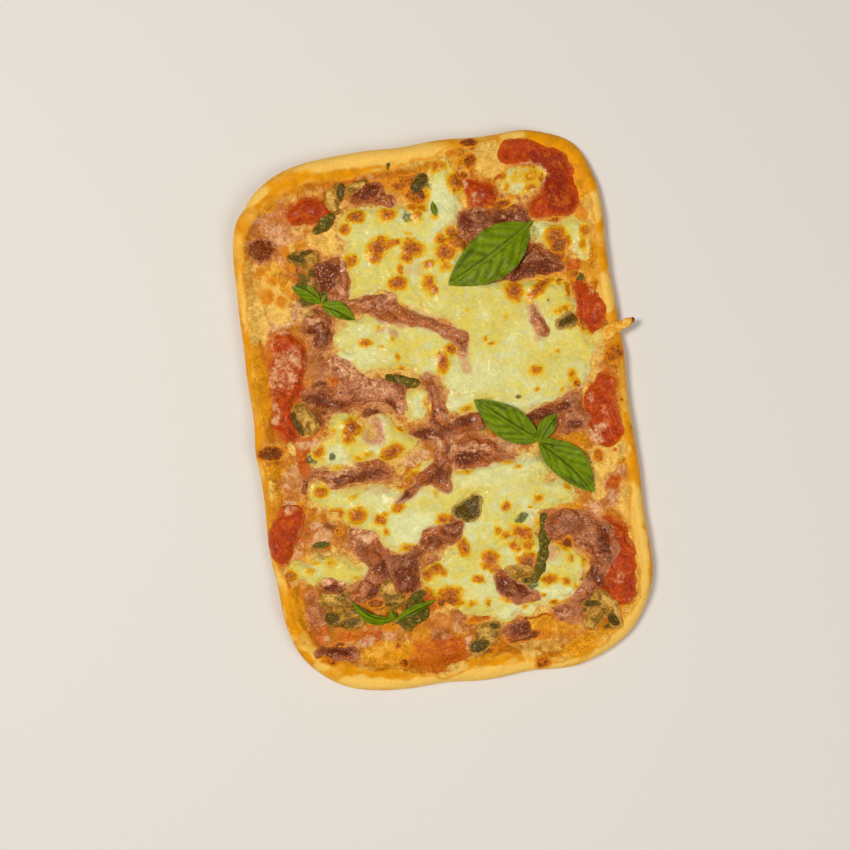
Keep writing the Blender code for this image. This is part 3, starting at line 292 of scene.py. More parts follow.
# Browned spots on the cheese
CHEESE_BROWNED = (
    (-38, 138, 6, 5, 1.0), (-17, 137, 6, 4, 0.9), (-47, 131, 4, 4, 0.9), (-61, 124, 5, 5, 0.8),
    (-46, 109, 5, 5, 0.85), (-26, 116, 8, 6, 1.0, 20), (-29, 109, 5, 4, 0.9), (-4, 112, 8, 6, 1.0, -30),
    (-8, 106, 5, 4, 0.9), (-16, 117, 6, 2.5, 0.8), (-17, 90, 6, 5, 1.0), (-19, 75, 5, 2.5, 0.6, -20),
    (-14, 99, 2.5, 3.5, 0.7), (21, 164, 6, 4, 0.8), (32, 152, 6, 7.5, 1.0), (5, 147, 8, 6, 0.8),
    (6, 138, 4, 4, 0.7), (27, 114, 8, 7, 1.0, 30), (18, 106, 7, 6, 1.0), (33, 121, 7, 4, 0.7, 20),
    (8, 101, 3, 2, 0.6), (4, 87, 5, 6, 0.8), (5, 80, 3, 3, 0.6), (17, 97, 5, 4, 0.6, 30),
    (60, 74, 6, 8, 1.0), (78, 74, 12, 4, 1.0, 38), (96, 70, 2, 7, 0.7), (91, 57, 6, 3, 0.6, 10),
    (91, 76, 3, 2.5, 0.7), (93, 107, 7, 6, 1.0), (93, 119, 3, 2, 0.6), (113, 107, 4, 5, 0.8),
    (96, 98, 4, 5, 0.6), (-44, 53, 5, 3, 0.8, -20), (-26, 54, 2, 3, 0.6), (-34, 49, 3, 2, 0.5),
    (-24, 41, 2, 3, 0.7), (-23, 33, 3, 2.5, 0.7), (-55, 36, 3, 4, 0.6), (-46, 30, 5, 2, 0.5, -20),
    (-34, 63, 2, 2, 0.5), (12, 41, 4, 4, 0.9), (6, 33, 4, 7, 1.0), (36, 45, 2, 2, 0.6), (40, 41, 3, 2, 0.7),
    (27, 65, 2, 1.5, 0.5), (52, 57, 2, 3, 0.45), (67, 19, 4.5, 3.5, 0.85), (66, 6, 2.5, 1.5, 0.6),
    (84, 29, 2, 2, 0.5), (90, 12, 3, 5, 0.6), (82, 3, 2, 2, 0.5), (-61, -2, 6, 7, 1.0, -20),
    (-37, -22, 8, 5, 1.0, 20), (-60, -23, 4, 3, 0.5), (-74, -2, 2, 2, 0.5), (-86, -15, 5, 5, 0.8),
    (-75, -27, 4, 2, 0.5), (-30, -6, 2.5, 7, 0.6, 35), (-8, 8, 3, 4, 0.6), (-88, -42, 5, 4, 0.8),
    (-66, -48, 4, 2, 0.5, 20), (-80, -58, 6, 4, 0.85), (-66, -61, 6, 5.5, 1.0), (-51, -66, 4.5, 4, 0.9),
    (-38, -60, 5, 3.5, 0.8, 20), (-47, -62, 3, 2, 0.5), (-48, -75, 2.5, 4, 0.6), (-30, -36, 9, 4, 0.8, 35),
    (-34, -45, 4, 3, 0.7), (-22, -33, 4, 3, 0.7), (-35, -87, 6, 3, 0.7), (-9, -72, 5, 4, 0.8),
    (-117, -95, 5, 4.5, 0.9), (-102, -93, 4, 3, 0.6), (-88, -90, 4, 4, 0.5), (-72, -103, 2, 2, 0.5),
    (-100, -88, 5, 2, 0.4), (2, -92, 4, 6.5, 1.0), (26, -85, 3, 3, 0.7), (34, -69, 3.5, 3.5, 0.85),
    (57, -67, 4, 2.5, 0.7, 20), (50, -71, 2.5, 1.5, 0.5), (42, -88, 8, 5, 0.95, -30),
    (36, -97, 5, 3, 0.7, -30), (18, -103, 6, 6, 1.0), (43, -106, 7, 5, 1.0), (9, -115, 5, 3, 0.85, -25),
    (56, -122, 6, 3, 0.85), (67, -125, 4, 3, 0.7, -30), (74, -130, 3, 2, 0.6), (72, -110, 3, 3, 0.6),
    (80, -113, 2, 4, 0.5), (57, -138, 4, 2.5, 0.7), (42, -133, 5, 3, 0.8), (37, -137, 3, 2, 0.6),
    (2, -131, 4, 3, 0.55), (12, -131, 3, 4, 0.5), (-20, -104, 6, 4, 0.9), (-14, -107, 3, 3, 0.7),
    (-12, -122, 9, 5, 0.95), (24, -130, 4, 2, 0.5), (70, -98, 6, 5, 0.9), (70, -103, 7, 2, 0.5),
    (46, -44, 3, 2, 0.6), (-3, -18, 6, 3, 0.5, 30), (-11, -54, 2, 3, 0.45), (10, -42, 6, 2, 0.5),
    (17, 0, 5, 3, 0.6), (72, 149, 5, 5, 0.4), (82, 148, 8, 6, 0.55), (66, 144, 3, 4, 0.5),
    (44, -97, 5, 3, 0.8), (31, -88, 4, 3, 0.6), (-18, -90, 5, 4, 0.5), (1, -70, 4, 2, 0.5),
    (60, 82, 6, 3, 0.7), (-50, 105, 3, 4, 0.5), (-5, 122, 5, 2, 0.4, -30), (103, 46, 4, 6, 0.9),
    (-28, -43, 8, 4, 0.9, 35), (99, 102, 4, 5, 0.9), (-26, -120, 4, 5, 0.8), (-15, -128, 5, 3, 0.9, 20),
    (81, 141, 6, 2.5, 0.8, 20), (85, 156, 7, 2, 0.8), (90, 145, 3, 5, 0.8), (38, -39, 7, 2, 0.5, -15),
    (44, -112, 5, 4, 1.0), (95, 45, 4, 2.5, 0.6), (0, 139, 4, 3, 0.8), (14, 131, 3, 3, 0.5),
    (77, -62, 3, 4, 0.5), (-53, -21, 5, 3, 0.5), (94, 100, 5, 6, 1.4), (-12, -127, 8, 3.5, 1.2, -10),
    (5, 100, 4, 3, 0.8), (3, 133, 4, 4, 0.7), (54, -83, 3, 4, 0.5), (28, -132, 6, 2, 0.6, -20),
    (7, 82, 3, 4, 0.9), (16, 115, 4, 4, 0.9, 30), (21, -110, 4, 3, 0.9), (50, -132, 4, 2, 0.6),
    (43, -110, 6, 5, 1.5), (64, 152, 3, 4, 0.7), (-3, -73, 3, 3, 1.2), (108, 40, 4, 3, 0.7),
    (-25, -107, 5, 4, 1.0), (-64, -9, 4, 4, 0.9), (93, 5, 3, 5, 1.0), (110, 99, 3, 5, 0.6),
    (24, 119, 4, 4, 1.0), (31, 109, 4, 4, 1.3),
)
# Where what lies under the cheese shows through it
CHEESE_PINK = (
    (-47, -8, 9, 10, 0.9, 20), (-52, 2, 4, 7, 0.8, 20), (-40, 0, 6, 7, 0.5), (-30, 60, 7, 3, 0.7, -20),
    (-24, 57, 4, 3, 0.8), (22, 28, 4, 5, 0.75), (20, 34, 4, 5, 0.6), (-5, 98, 10, 7, 0.5),
    (-10, 102, 6, 8, 0.4), (62, 62, 5, 9, 0.45), (72, 40, 6, 3, 0.6), (67, 66, 4, 4, 0.4),
    (-60, -42, 18, 4, 0.55), (-47, -47, 9, 4, 0.6), (-44, -40, 12, 4, 0.5, 10), (-20, -96, 6, 6, 0.5),
    (-28, -88, 5, 5, 0.5), (60, -102, 6, 9, 0.75), (30, -120, 16, 9, 0.4, -20), (50, -84, 8, 7, 0.4),
    (85, -104, 5, 8, 0.6), (84, -120, 4, 9, 0.4, 25), (-66, -75, 6, 8, 0.5), (-10, -50, 8, 5, 0.4),
    (-50, 120, 3, 12, 0.5), (-14, -78, 8, 5, 0.6), (-4, 58, 12, 2.5, 0.4, -30), (-75, -38, 10, 4, 0.5),
    (-5, 146, 7, 5, 0.4), (-24, 66, 14, 4, 0.9, -25), (28, -130, 8, 3, 0.7, -20), (58, -102, 4, 8, 0.6),
    (20, 120, 8, 4, 0.7, 30), (52, -86, 6, 5, 0.6), (-48, -3, 8, 12, 1.2, 20),
)
CHEESE_MILKY = (
    (20, 140, 12, 16, 0.9), (-5, 118, 8, 6, 0.5), (-45, 45, 14, 10, 0.6), (25, 20, 30, 12, 0.6),
    (-30, -75, 18, 12, 0.9), (-45, -50, 18, 9, 0.6), (30, -45, 30, 9, 0.6), (-75, -20, 8, 7, 0.9),
    (-13, 6, 7, 8, 0.8), (20, -120, 20, 12, 0.6), (60, -132, 18, 5, 0.9), (-40, 2, 8, 6, 0.6),
    (60, -140, 14, 3, 0.9), (85, 112, 6, 8, 0.6), (30, -140, 14, 5, 0.8), (75, 45, 24, 10, 0.4),
    (75, -60, 12, 6, 0.5), (50, -80, 7, 4, 0.8), (60, -95, 5, 8, 0.5), (40, -57, 14, 6, 0.4),
    (-5, 103, 5, 6, 0.7), (-52, 60, 8, 8, 0.4), (-35, 125, 14, 6, 0.4), (68, 147, 6, 7, 0.6),
    (68, -2, 12, 4, 0.9), (8, 5, 9, 6, 0.9), (-56, 46, 8, 5, 0.9),
)
CHEESE_HERBS = (
    (-77, -19, 2.2, 3, 1.0, -20), (53, 3, 2.6, 1.3, 1.0), (43, -78, 5, 3, 1.0, 30), (78, -125, 2, 1.2, 1.0),
    (-90, -19, 4, 3.5, 0.8), (82, 64, 1.6, 2.4, 0.5, 20), (-15, 51, 1, 1, 0.5), (-72, -26, 2, 1.4, 0.4),
    (17, -18, 2, 2, 0.4), (-95, -85, 7, 3, 0.5), (60, -38, 3, 5, 0.4), (-3, 134, 5, 4, 0.75, -30),
    (78, 110, 5, 6, 0.5), (90, 97, 3, 7, 0.8, 25), (44, -124, 5, 3, 0.8, 20), (11, 152, 3, 4, 0.6),
    (-92, -19, 4, 3, 1.0), (54, -84, 3, 5, 0.5), (11, 151, 4, 4, 0.9),
)

# Crushed tomato, close to the part's
TOMATO_THICKNESS = 2.9
TOMATO_ROUNDING = 5.0
TOMATOES = {
    "tomato_1": (((-78, 146, 5.5), (-68, 147, 7), (-60, 146, 6)),),
    "tomato_2": (((41, 146, 5), (50, 141, 7)), ((45, 137, 6),)),
    "tomato_3": (
        ((70, 167, 6.5), (85, 164, 6.5), (97, 156, 8), (100, 143, 10), (100, 131, 10), (86, 128, 6.5)),
    ),
    "tomato_4": (((105, 71, 2.6), (108, 62, 5), (109, 53, 7), (108, 47, 7)), ((102, 45, 5),)),
    "tomato_5": (((113, 6, 4.2), (107, -5, 8), (107, -20, 9), (109, -30, 8)),),
    "tomato_6": (
        ((101, -91, 4.4), (105, -96, 6), (107, -110, 6), (104, -125, 9), (101, -136, 9)),
        ((93, -130, 5.5),),
    ),
    "tomato_7": (((-98, 60, 8), (-94, 53, 8), (-99, 43, 11), (-101, 31, 10)),),
    "tomato_8": (((-105, 20, 6), (-106, 8, 7), (-103, 0, 6)),),
    "tomato_9": (((-111, -56, 8), (-116, -68, 9), (-120, -79, 7)),),
}
# Where cheese film lies over tomato, and where tomato is dark
TOMATO_FILM = (
    (-96, 36, 5, 8, 0.4), (104, -26, 6, 7, 0.6), (108, -14, 3, 6, 0.4), (101, -33, 6, 4, 0.7),
    (103, -127, 5, 6, 0.5), (44, 139, 6, 4, 0.6), (-105, 62, 4, 6, 0.4), (-62, 141, 7, 2.5, 0.4),
    (100, -5, 3, 6, 0.5), (-96, 49, 13, 9, 0.75, 10), (-102, 35, 11, 7, 0.7, 20), (-112, 16, 4, 12, 0.8),
    (-97, 70, 7, 4, 1.0), (112, 68, 2, 5, 0.8), (-110, 40, 5, 8, 1.0), (-112, 24, 4.5, 8, 1.0),
    (-110, -50, 5, 4, 0.8),
)
TOMATO_DARK = (
    (98, 140, 9, 16, 0.9), (100, 128, 10, 7, 0.8), (92, 158, 9, 6, 0.8), (84, 163, 5, 3, 0.9),
    (103, 153, 5, 8, 0.7), (50, 142, 7, 5, 0.7), (112, 48, 5, 5, 0.5), (108, -134, 6, 8, 0.6),
    (92, -132, 6, 4, 0.7), (-66, 146, 8, 5, 0.5), (108, -100, 5, 10, 0.5),
)

# Sliced mushrooms, close to the part's
MUSHROOM_THICKNESS = 3.2
MUSHROOMS = {
    "mushroom_1": (
        ((-46, 160, 3), (-53, 155, 3.6), (-53, 148, 3.4), (-50, 144, 2.4)),
        ((-49, 154, 4), (-38, 158, 3.2), (-30, 160, 2.6)),
    ),
    "mushroom_2": (((-84, 116, 4.2), (-73, 114, 6.4)),),
    "mushroom_3": (((-94, 12, 6.5), (-91, 4, 8)),),
    "mushroom_4": (
        ((77, -138, 4), (88, -140, 5), (95, -147, 4.6), (96, -156, 3.6)),
        ((87, -147, 6), (79, -155, 4.6)),
    ),
    "mushroom_5": (((15, -149, 4.5), (9, -153, 7.5), (2, -160, 5.6)),),
    "mushroom_6": (((88, 47, 3.8), (94, 49, 4.4)),),
    "mushroom_7": (((2, -69, 4.5), (9, -68, 7), (14, -62, 4.5)),),
    "mushroom_8": (((32, -115, 6), (40, -117, 6)),),
    "mushroom_9": (((-93, -113, 7), (-82, -117, 6.5)),),
    "mushroom_10": (((-90, -127, 7), (-77, -129, 8)),),
    "mushroom_11": (((4, 152, 3.4), (9, 157, 4)),),
    "mushroom_12": (((-52, -111, 6), (-50, -120, 7)),),
}
MUSHROOM_GILLS = (
    (-46, 157, 3, 6, 1.0, -15), (-82, 116, 7, 2.6, 1.0, -25), (-75, 119, 5, 1.6, 0.9, 20),
    (-97, 3, 3, 6, 1.0, 15), (-99, 11, 2, 3, 1.0), (82, -142, 6, 2.2, 0.9, -10), (94, -154, 3, 4, 1.0, 30),
    (3, -159, 7, 4, 1.0, 10), (15, -148, 4, 2, 0.8, -20), (91, 48, 12, 8, 1.3, 10),
    (8, -68, 13, 9, 1.2, 35), (42, -121, 5, 3, 0.9), (-94, -118, 5, 4, 0.4), (-86, -133, 9, 3, 0.6),
    (-80, -125, 8, 2, 0.4), (7, 155, 8, 4.5, 1.2, 40), (-54, -123, 7, 2, 0.6), (-44, -113, 2, 5, 0.4),
    (-30, -115, 4, 4, 0.9), (90, -149, 2.4, 2, 0.5), (-93, -127, 6, 5, 0.8), (-80, -131, 7, 3, 0.6),
    (-84, -114, 5, 3, 0.6),
)
MUSHROOM_PALE = (
    (-53, 151, 2.5, 8, 0.8, 10), (-34, 159, 7, 1.4, 0.7, 5), (93, -142, 5, 2.5, 0.9, -40),
    (98, -151, 2.5, 6, 0.9, 10), (-88, -113, 8, 4, 0.5), (-50, -113, 5, 4, 0.8), (79, -155, 4, 3, 0.4),
    (10, -152, 6, 5, 0.5), (-88, 9, 3, 8, 0.5, 10),
)

# Ham, torn and folded, close to the part's
HAM_THICKNESS = 1.7
HAM = {
    "ham_1": (((-37, 151, 2.6), (-28, 153, 5), (-22, 154, 4)), ((-22, 150, 3.6), (-15, 145, 2.8))),
    "ham_2": (((-65, 104, 6.5), (-58, 105, 7), (-57, 95, 7), (-55, 88, 4.6)), ((-67, 96, 4), (-58, 97, 4))),
    "ham_3": (
        ((-52, 81, 3), (-40, 79, 4), (-30, 74, 6), (-22, 69.5, 5.6), (-11, 65.5, 4.4), (2, 60, 3.6)),
        ((2, 60, 3.5), (12, 53, 3.6), (20, 47, 4), (20, 37, 3)),
        ((-35, 79, 3), (-24, 80, 4)),
    ),
    "ham_4": (((-79, 70, 6), (-71, 72, 5.6), (-71, 62, 5), (-75, 57, 5)),),
    "ham_5": (
        ((-66, 44, 3), (-60, 36, 6), (-50, 24, 6), (-40, 20, 8), (-30, 17, 6), (-27, 8, 4)),
        ((-54, 18, 6), (-66, 18, 7), (-78, 20, 8), (-88, 24, 5)),
    ),
    "ham_6": (
        ((-6, 25, 3), (-3, 16, 3.2), (-2, 8, 3), (-2, -4, 4.6), (-5, -12, 6)),
        ((-20, -11, 3), (-12, -13, 4), (0, -14, 5), (12, -10, 5), (23, -9, 5)),
        ((0, -20, 5), (-3, -30, 5), (-7, -40, 6), (-4, -50, 3.5)),
        ((-9, -39, 6), (-20, -44, 3), (-29, -51, 2.8), (-38, -56, 2)),
    ),
    "ham_7": (
        ((9, -24, 4.5), (17, -24, 6), (26, -29, 5.4), (35, -34.5, 3.6), (43, -37.5, 2.4)),
        ((11, -34, 6), (24, -35, 5)),
    ),
    "ham_8": (
        ((-77, -36, 4.2), (-68, -35, 3.4), (-60, -32.5, 5), (-51, -33, 6.5), (-43, -37, 4)),
        ((-99.5, -40, 0.5), (-97.5, -33, 0.8), (-92, -29.5, 1.6), (-84, -31, 2.4), (-78, -33, 2)),
    ),
    "ham_9": (
        ((-70, -72, 3.4), (-64, -80, 7), (-58, -90, 7), (-48, -97, 5), (-36, -96, 6), (-30, -91, 4)),
        ((-38, -104, 7), (-36, -113, 4)),
        ((-46, -100, 7), (-42, -110, 7)),
        ((-56, -101, 6), (-66, -111, 7), (-74, -114, 4)),
    ),
    "ham_10": (((-23, -87, 3.4), (-18, -84, 6), (-8, -82, 7), (0, -77, 4)), ((-20, -79, 3),)),
    "ham_11": (
        ((63, -85, 5), (72, -83.5, 5.4), (84, -88, 6.6), (94, -96, 7), (98, -106, 6), (92, -117, 5)),
        ((92, -117, 5), (86, -126, 4.5), (79, -135, 3.4), (72, -139, 2.6)),
        ((65, -92, 4), (72, -88, 4)),
        ((82, -96, 6), (90, -104, 6)),
    ),
    "ham_12": (((24, -116, 3.4), (27, -123, 6), (35, -129, 5), (44, -131, 2.6)),),
    "ham_13": (((70.5, 61.5, 3), (72, 53, 3.4), (74.5, 45, 3.8)),),
    "ham_14": (((60, 86, 4), (70, 90, 6.5), (76, 97, 6.5), (84, 91, 6.4), (92, 87, 4)),),
    "ham_15": (
        ((34, 127, 5.5), (44, 126, 7), (56, 124, 6), (68, 124, 6), (73, 119, 4)),
        ((36, 119, 6), (44, 118, 6)),
    ),
    "ham_16": (((60, -12, 2.6), (72, -11.5, 3.2), (80, -8.5, 4), (88, -7, 6.6), (88, -16, 8), (82, -20, 5)),),
    "ham_17": (((-102, -148, 3.4), (-94, -151, 3.6), (-84, -153, 3.6)),),
    "ham_18": (((24, -154, 4), (34, -152, 6)),),
    "ham_19": (((61, -147, 4.4), (71, -146, 5)),),
    "ham_20": (((-91, -106, 4.4), (-85, -107.5, 3.4)),),
}
HAM_DARK = (
    (-30, 154, 9, 5, 1.0), (-64, 104, 9, 8, 0.9), (-66, 96, 7, 5, 0.8), (-74, 63, 9, 8, 1.0),
    (-82, 20, 11, 6, 0.7), (-70, 14, 10, 4, 0.7), (-48, 7, 10, 4, 0.9, 10), (-13, -13, 9, 4, 0.9),
    (0, -14, 9, 5, 0.6), (14, -8, 10, 4, 0.8, 10), (14, -33, 10, 5, 1.0), (-8, -42, 8, 6, 0.7),
    (-32, -54, 6, 4, 0.8, 35), (-62, -35, 20, 4, 0.7), (-75, -37, 6, 4, 0.6), (-45, -98, 16, 4, 0.9),
    (-34, -96, 7, 6, 0.6), (-44, -99, 16, 9, 0.8), (-39, -110, 8, 8, 0.8), (-60, -118, 9, 3, 0.7),
    (-16, -86, 6, 5, 0.7), (-5, -79, 8, 6, 0.7), (80, -88, 14, 6, 0.5), (94, -106, 4, 14, 0.6, 10),
    (88, -122, 3, 9, 0.6, 30), (30, -124, 12, 6, 0.95, -35), (75, 90, 16, 9, 1.0, -10),
    (88, 86, 7, 3, 0.7, -10), (40, 126, 12, 6, 0.95), (60, 124, 10, 4, 0.8), (72, 122, 6, 6, 0.7),
    (66, -11, 10, 3, 1.0, 5), (88, -21, 6, 4, 0.8), (-94, -149, 12, 4, 0.9, -10), (31, -153, 8, 5, 0.8),
    (-66, -84, 4, 9, 0.5, 10), (68, -80, 9, 4, 0.5), (90, -8, 3, 8, 0.4), (20, 44, 4, 6, 0.4),
    (-90, -107, 5, 3, 0.9), (-34, 10, 5, 6, 0.7), (62, -88, 5, 6, 0.5), (-60, -114, 8, 4, 1.0, 20),
    (-26, 21, 4, 5, 0.7), (64, 82, 6, 4, 1.0), (81, -8, 5, 3, 0.9), (97, -104, 4, 14, 0.9, 5),
    (88, -125, 4, 8, 0.9, 35),
)
HAM_PINK = (
    (-18, 152, 6, 4, 0.6), (-56, 96, 5, 9, 0.7), (-30, 78, 10, 4, 0.7), (-22, 76, 6, 5, 0.5),
    (-60, 40, 6, 8, 0.9, -30), (-46, 22, 14, 8, 0.8), (-32, 20, 8, 7, 0.7), (-64, 20, 6, 6, 0.6),
    (-84, 27, 6, 3, 0.6), (2, 14, 4, 8, 0.7), (0, 0, 5, 8, 0.4), (20, -26, 12, 3, 0.8, -15),
    (-3, -22, 5, 6, 0.6), (-68, -76, 7, 7, 0.6), (-40, -104, 6, 9, 0.4), (-66, -108, 8, 5, 0.4, 35),
    (-52, -106, 5, 5, 0.3), (72, -90, 7, 3, 0.9), (76, -82, 7, 4, 0.7), (90, -100, 5, 9, 0.4),
    (80, -106, 4, 8, 0.7), (76, -134, 9, 3, 0.5, 40), (72, 54, 4, 9, 0.8), (85, -4, 7, 6, 0.9),
    (88, -14, 7, 6, 0.4), (64, 127, 5, 4, 0.4), (66, -147, 12, 5, 0.8), (34, -148, 6, 3, 0.6),
    (-12, 145, 4, 3, 0.7), (-8, -28, 4, 8, 0.4, 20), (-100, -146, 5, 3, 0.4), (-45, 30, 10, 3, 0.5, -30),
    (-28, 82, 7, 3, 1.0), (76, -86, 7, 3, 0.9),
)
HAM_FILM = (
    (-56, 88, 5, 4, 0.4), (-44, 81, 9, 2, 0.4), (20, 36, 4, 4, 0.6), (-6, 26, 5, 3, 0.6),
    (-56, 36, 8, 7, 0.7, -35), (-77, 74, 6, 2.6, 0.9), (4, -24, 2.4, 8, 0.7, -15), (-6, -20, 3, 6, 0.6, 35),
    (17, -27, 9, 2.4, 0.7, -8), (28, -31, 6, 2, 0.4, -25), (-20, -92, 5, 3, 0.5), (80, -110, 4, 8, 0.5),
    (72, 44, 5, 3, 0.6), (72, 61, 4, 3, 0.4), (62, 126, 5, 3, 0.5, 30), (44, 133, 8, 2.4, 0.5),
    (-76, 82, 8, 4, 0.5), (62, -147, 5, 4, 0.4), (-85, -37, 6, 4, 0.6), (-70, -70, 6, 4, 0.4),
    (20, -132, 6, 4, 0.4), (12, -4, 10, 2, 0.4, 10), (-64, 30, 3, 8, 0.4), (-61, -74, 6, 5, 1.0),
    (-66, 45, 5, 4, 1.0), (-25, 6, 4, 4, 0.8), (4, 17, 3, 6, 0.8), (5, -4, 4, 4, 0.8),
    (-81, -104, 4, 4, 0.9), (-23, 82, 5, 3, 0.7), (-42, 25, 12, 6, 0.55, -20), (-69, -29, 7, 3, 1.0),
    (-79, -31, 6, 2.5, 0.9), (-51, 108, 3, 6, 0.9), (-95, -102, 4, 3, 1.0),
)

# Basil baked with the pizza, as in the part
BAKED_BASIL_THICKNESS = 0.9
BAKED_BASIL = {
    "baked_basil_1": (((-66, 133, 3), (-60, 137, 4), (-54, 141, 2.6)),),
    "baked_basil_2": (((-32, 28, 2.6), (-24, 24, 4.6), (-14, 22, 3)),),
    "baked_basil_3": (((58, -80, 2.6), (57, -93, 3.4), (54, -105, 3.2), (51, -113, 3), (46, -120, 3)),),
    "baked_basil_4": (((-34, -121, 4), (-36, -131, 8), (-40, -137, 4)),),
}

# The crisp horn of cheese, close to the part's
CRISP_HORN = {
    "crisp_horn": (((112, 35, 4.6), (118, 37, 4.2), (124, 39.5, 3.2), (131, 41.5, 2.3), (135.8, 43.2, 1.5)),),
}
CRISP_THICKNESS = 1.8

# Places across the table: where the horn thickens, lifts its edge, ends its foot, juts out level and is scorched
CRISP_THICKENS = 113
CRISP_LIFTS = 116
CRISP_FOOT = 119
CRISP_JUTS = 124
CRISP_TIP = 132.5

# How far below the rim's top the horn juts out, and half its thickness there
CRISP_BELOW_RIM = 2.4
CRISP_HALF_THICKNESS = 0.8

# Fresh basil, in leaves: base x, y, tip x, y, width, arch, fold, sideways bend
LEAF_THICKNESS = 0.5
LEAF_CELL_LENGTH = 0.45
LEAF_CELL_WIDTH = 0.9
FRESH_BASIL = {
    "basil_leaf_large": (
        ((76, 116.5), (17, 84), 33, 4.0, 0.10, 2.0),
        ((74, 115), (80, 119), 3, 0.6, 0.2, 0.3),
    ),
    "basil_leaf_small": (((15, 131), (14, 141), 4, 0.8, 0.20, 0.4),),
    "basil_sprig_left": (
        ((-70.4, 84.4), (-88, 98), 10, 1.5, 0.25, -1.5),
        ((-69.6, 83.6), (-49, 70), 11, 1.6, 0.20, 1.2),
        ((-69.8, 84.3), (-65, 90), 3, 0.8, 0.20, 0.0),
    ),
    "basil_sprig_right": (
        ((62.0, -28.7), (23, 5), 22, 4.0, 0.16, 1.0),
        ((62.7, -29.2), (94.5, -68), 23, 4.0, 0.18, 2.6),
        ((62.5, -28.3), (76.5, -12), 11, 2.2, 0.22, 1.0),
        ((62.9, -28.8), (78, -36), 6, 3.0, 0.20, 1.0),
    ),
    "basil_sprig_bottom": (
        ((-51.4, -134.4), (-78, -118), 6.5, 2.4, 0.45, 4.6),
        ((-50.6, -134.4), (-22, -125), 5.5, 2.4, 0.45, 1.0),
        ((-50.8, -134.6), (-53, -127), 5, 1.8, 0.3, 0.6),
    ),
}

# How far a topping sinks into what carries it, and the least thickness it keeps
PIECE_SINKS = 0.5
PIECE_LEAST = 0.4

# Tones that a mesh keeps for its material: name, table, wander, seed, softness
CHEESE_MARKS = (
    ("pink", CHEESE_PINK, 2.0, 72, 1.1),
    ("milky", CHEESE_MILKY, 2.5, 73, 1.2),
    ("herbs", CHEESE_HERBS, 0.5, 74, 0.9),
)
TOMATO_MARKS = (("filmed", TOMATO_FILM, 1.5, 83, 1.1), ("dark", TOMATO_DARK, 1.5, 84, 1.1))
MUSHROOM_MARKS = (("gills", MUSHROOM_GILLS, 0.8, 91, 0.9), ("pale", MUSHROOM_PALE, 0.8, 94, 0.9))
HAM_MARKS = (
    ("dark", HAM_DARK, 1.5, 103, 1.0),
    ("pink", HAM_PINK, 1.5, 104, 1.0),
    ("filmed", HAM_FILM, 1.5, 105, 1.0),
)

# The stage, its lamps given as name, place, size, power, colour
FLOOR_SIZE = 6.0
FLOOR_SHADE = (0.78, 0.77, 0.75)
SKY_SHADE = (1.0, 0.95, 0.87)
SKY_STRENGTH = 0.215
LAMPS = (
    ("key", (-1.0, 0.3, 2.1), 0.6, 34.0, (1.0, 0.95, 0.87)),
    ("fill", (1.3, -1.1, 1.9), 1.2, 19.5, (1.0, 0.96, 0.90)),
)

# The photograph, the place of the pizza's middle in it, and the height above the table that is in scale
PHOTO_PIXELS = 850
MM_PER_PIXEL = 0.672
PHOTO_LEAN = math.radians(8.2)
PIZZA_PIXEL = (441.5, 412.0)
FOCUS_HEIGHT = 12.0
SENSOR_WIDTH = 36.0


def colour(name, seen, words):
    """A colour property, its default given as seen, from 0 to 255."""
    default = tuple(part / 255 for part in seen)
    return FloatVectorProperty(
        name=name, description=words, default=default, size=3, min=0, max=1, subtype="COLOR_GAMMA"
    )


def measure(name, metres, words):
    """A length property."""
    return FloatProperty(name=name, description=words, default=metres, unit="LENGTH")


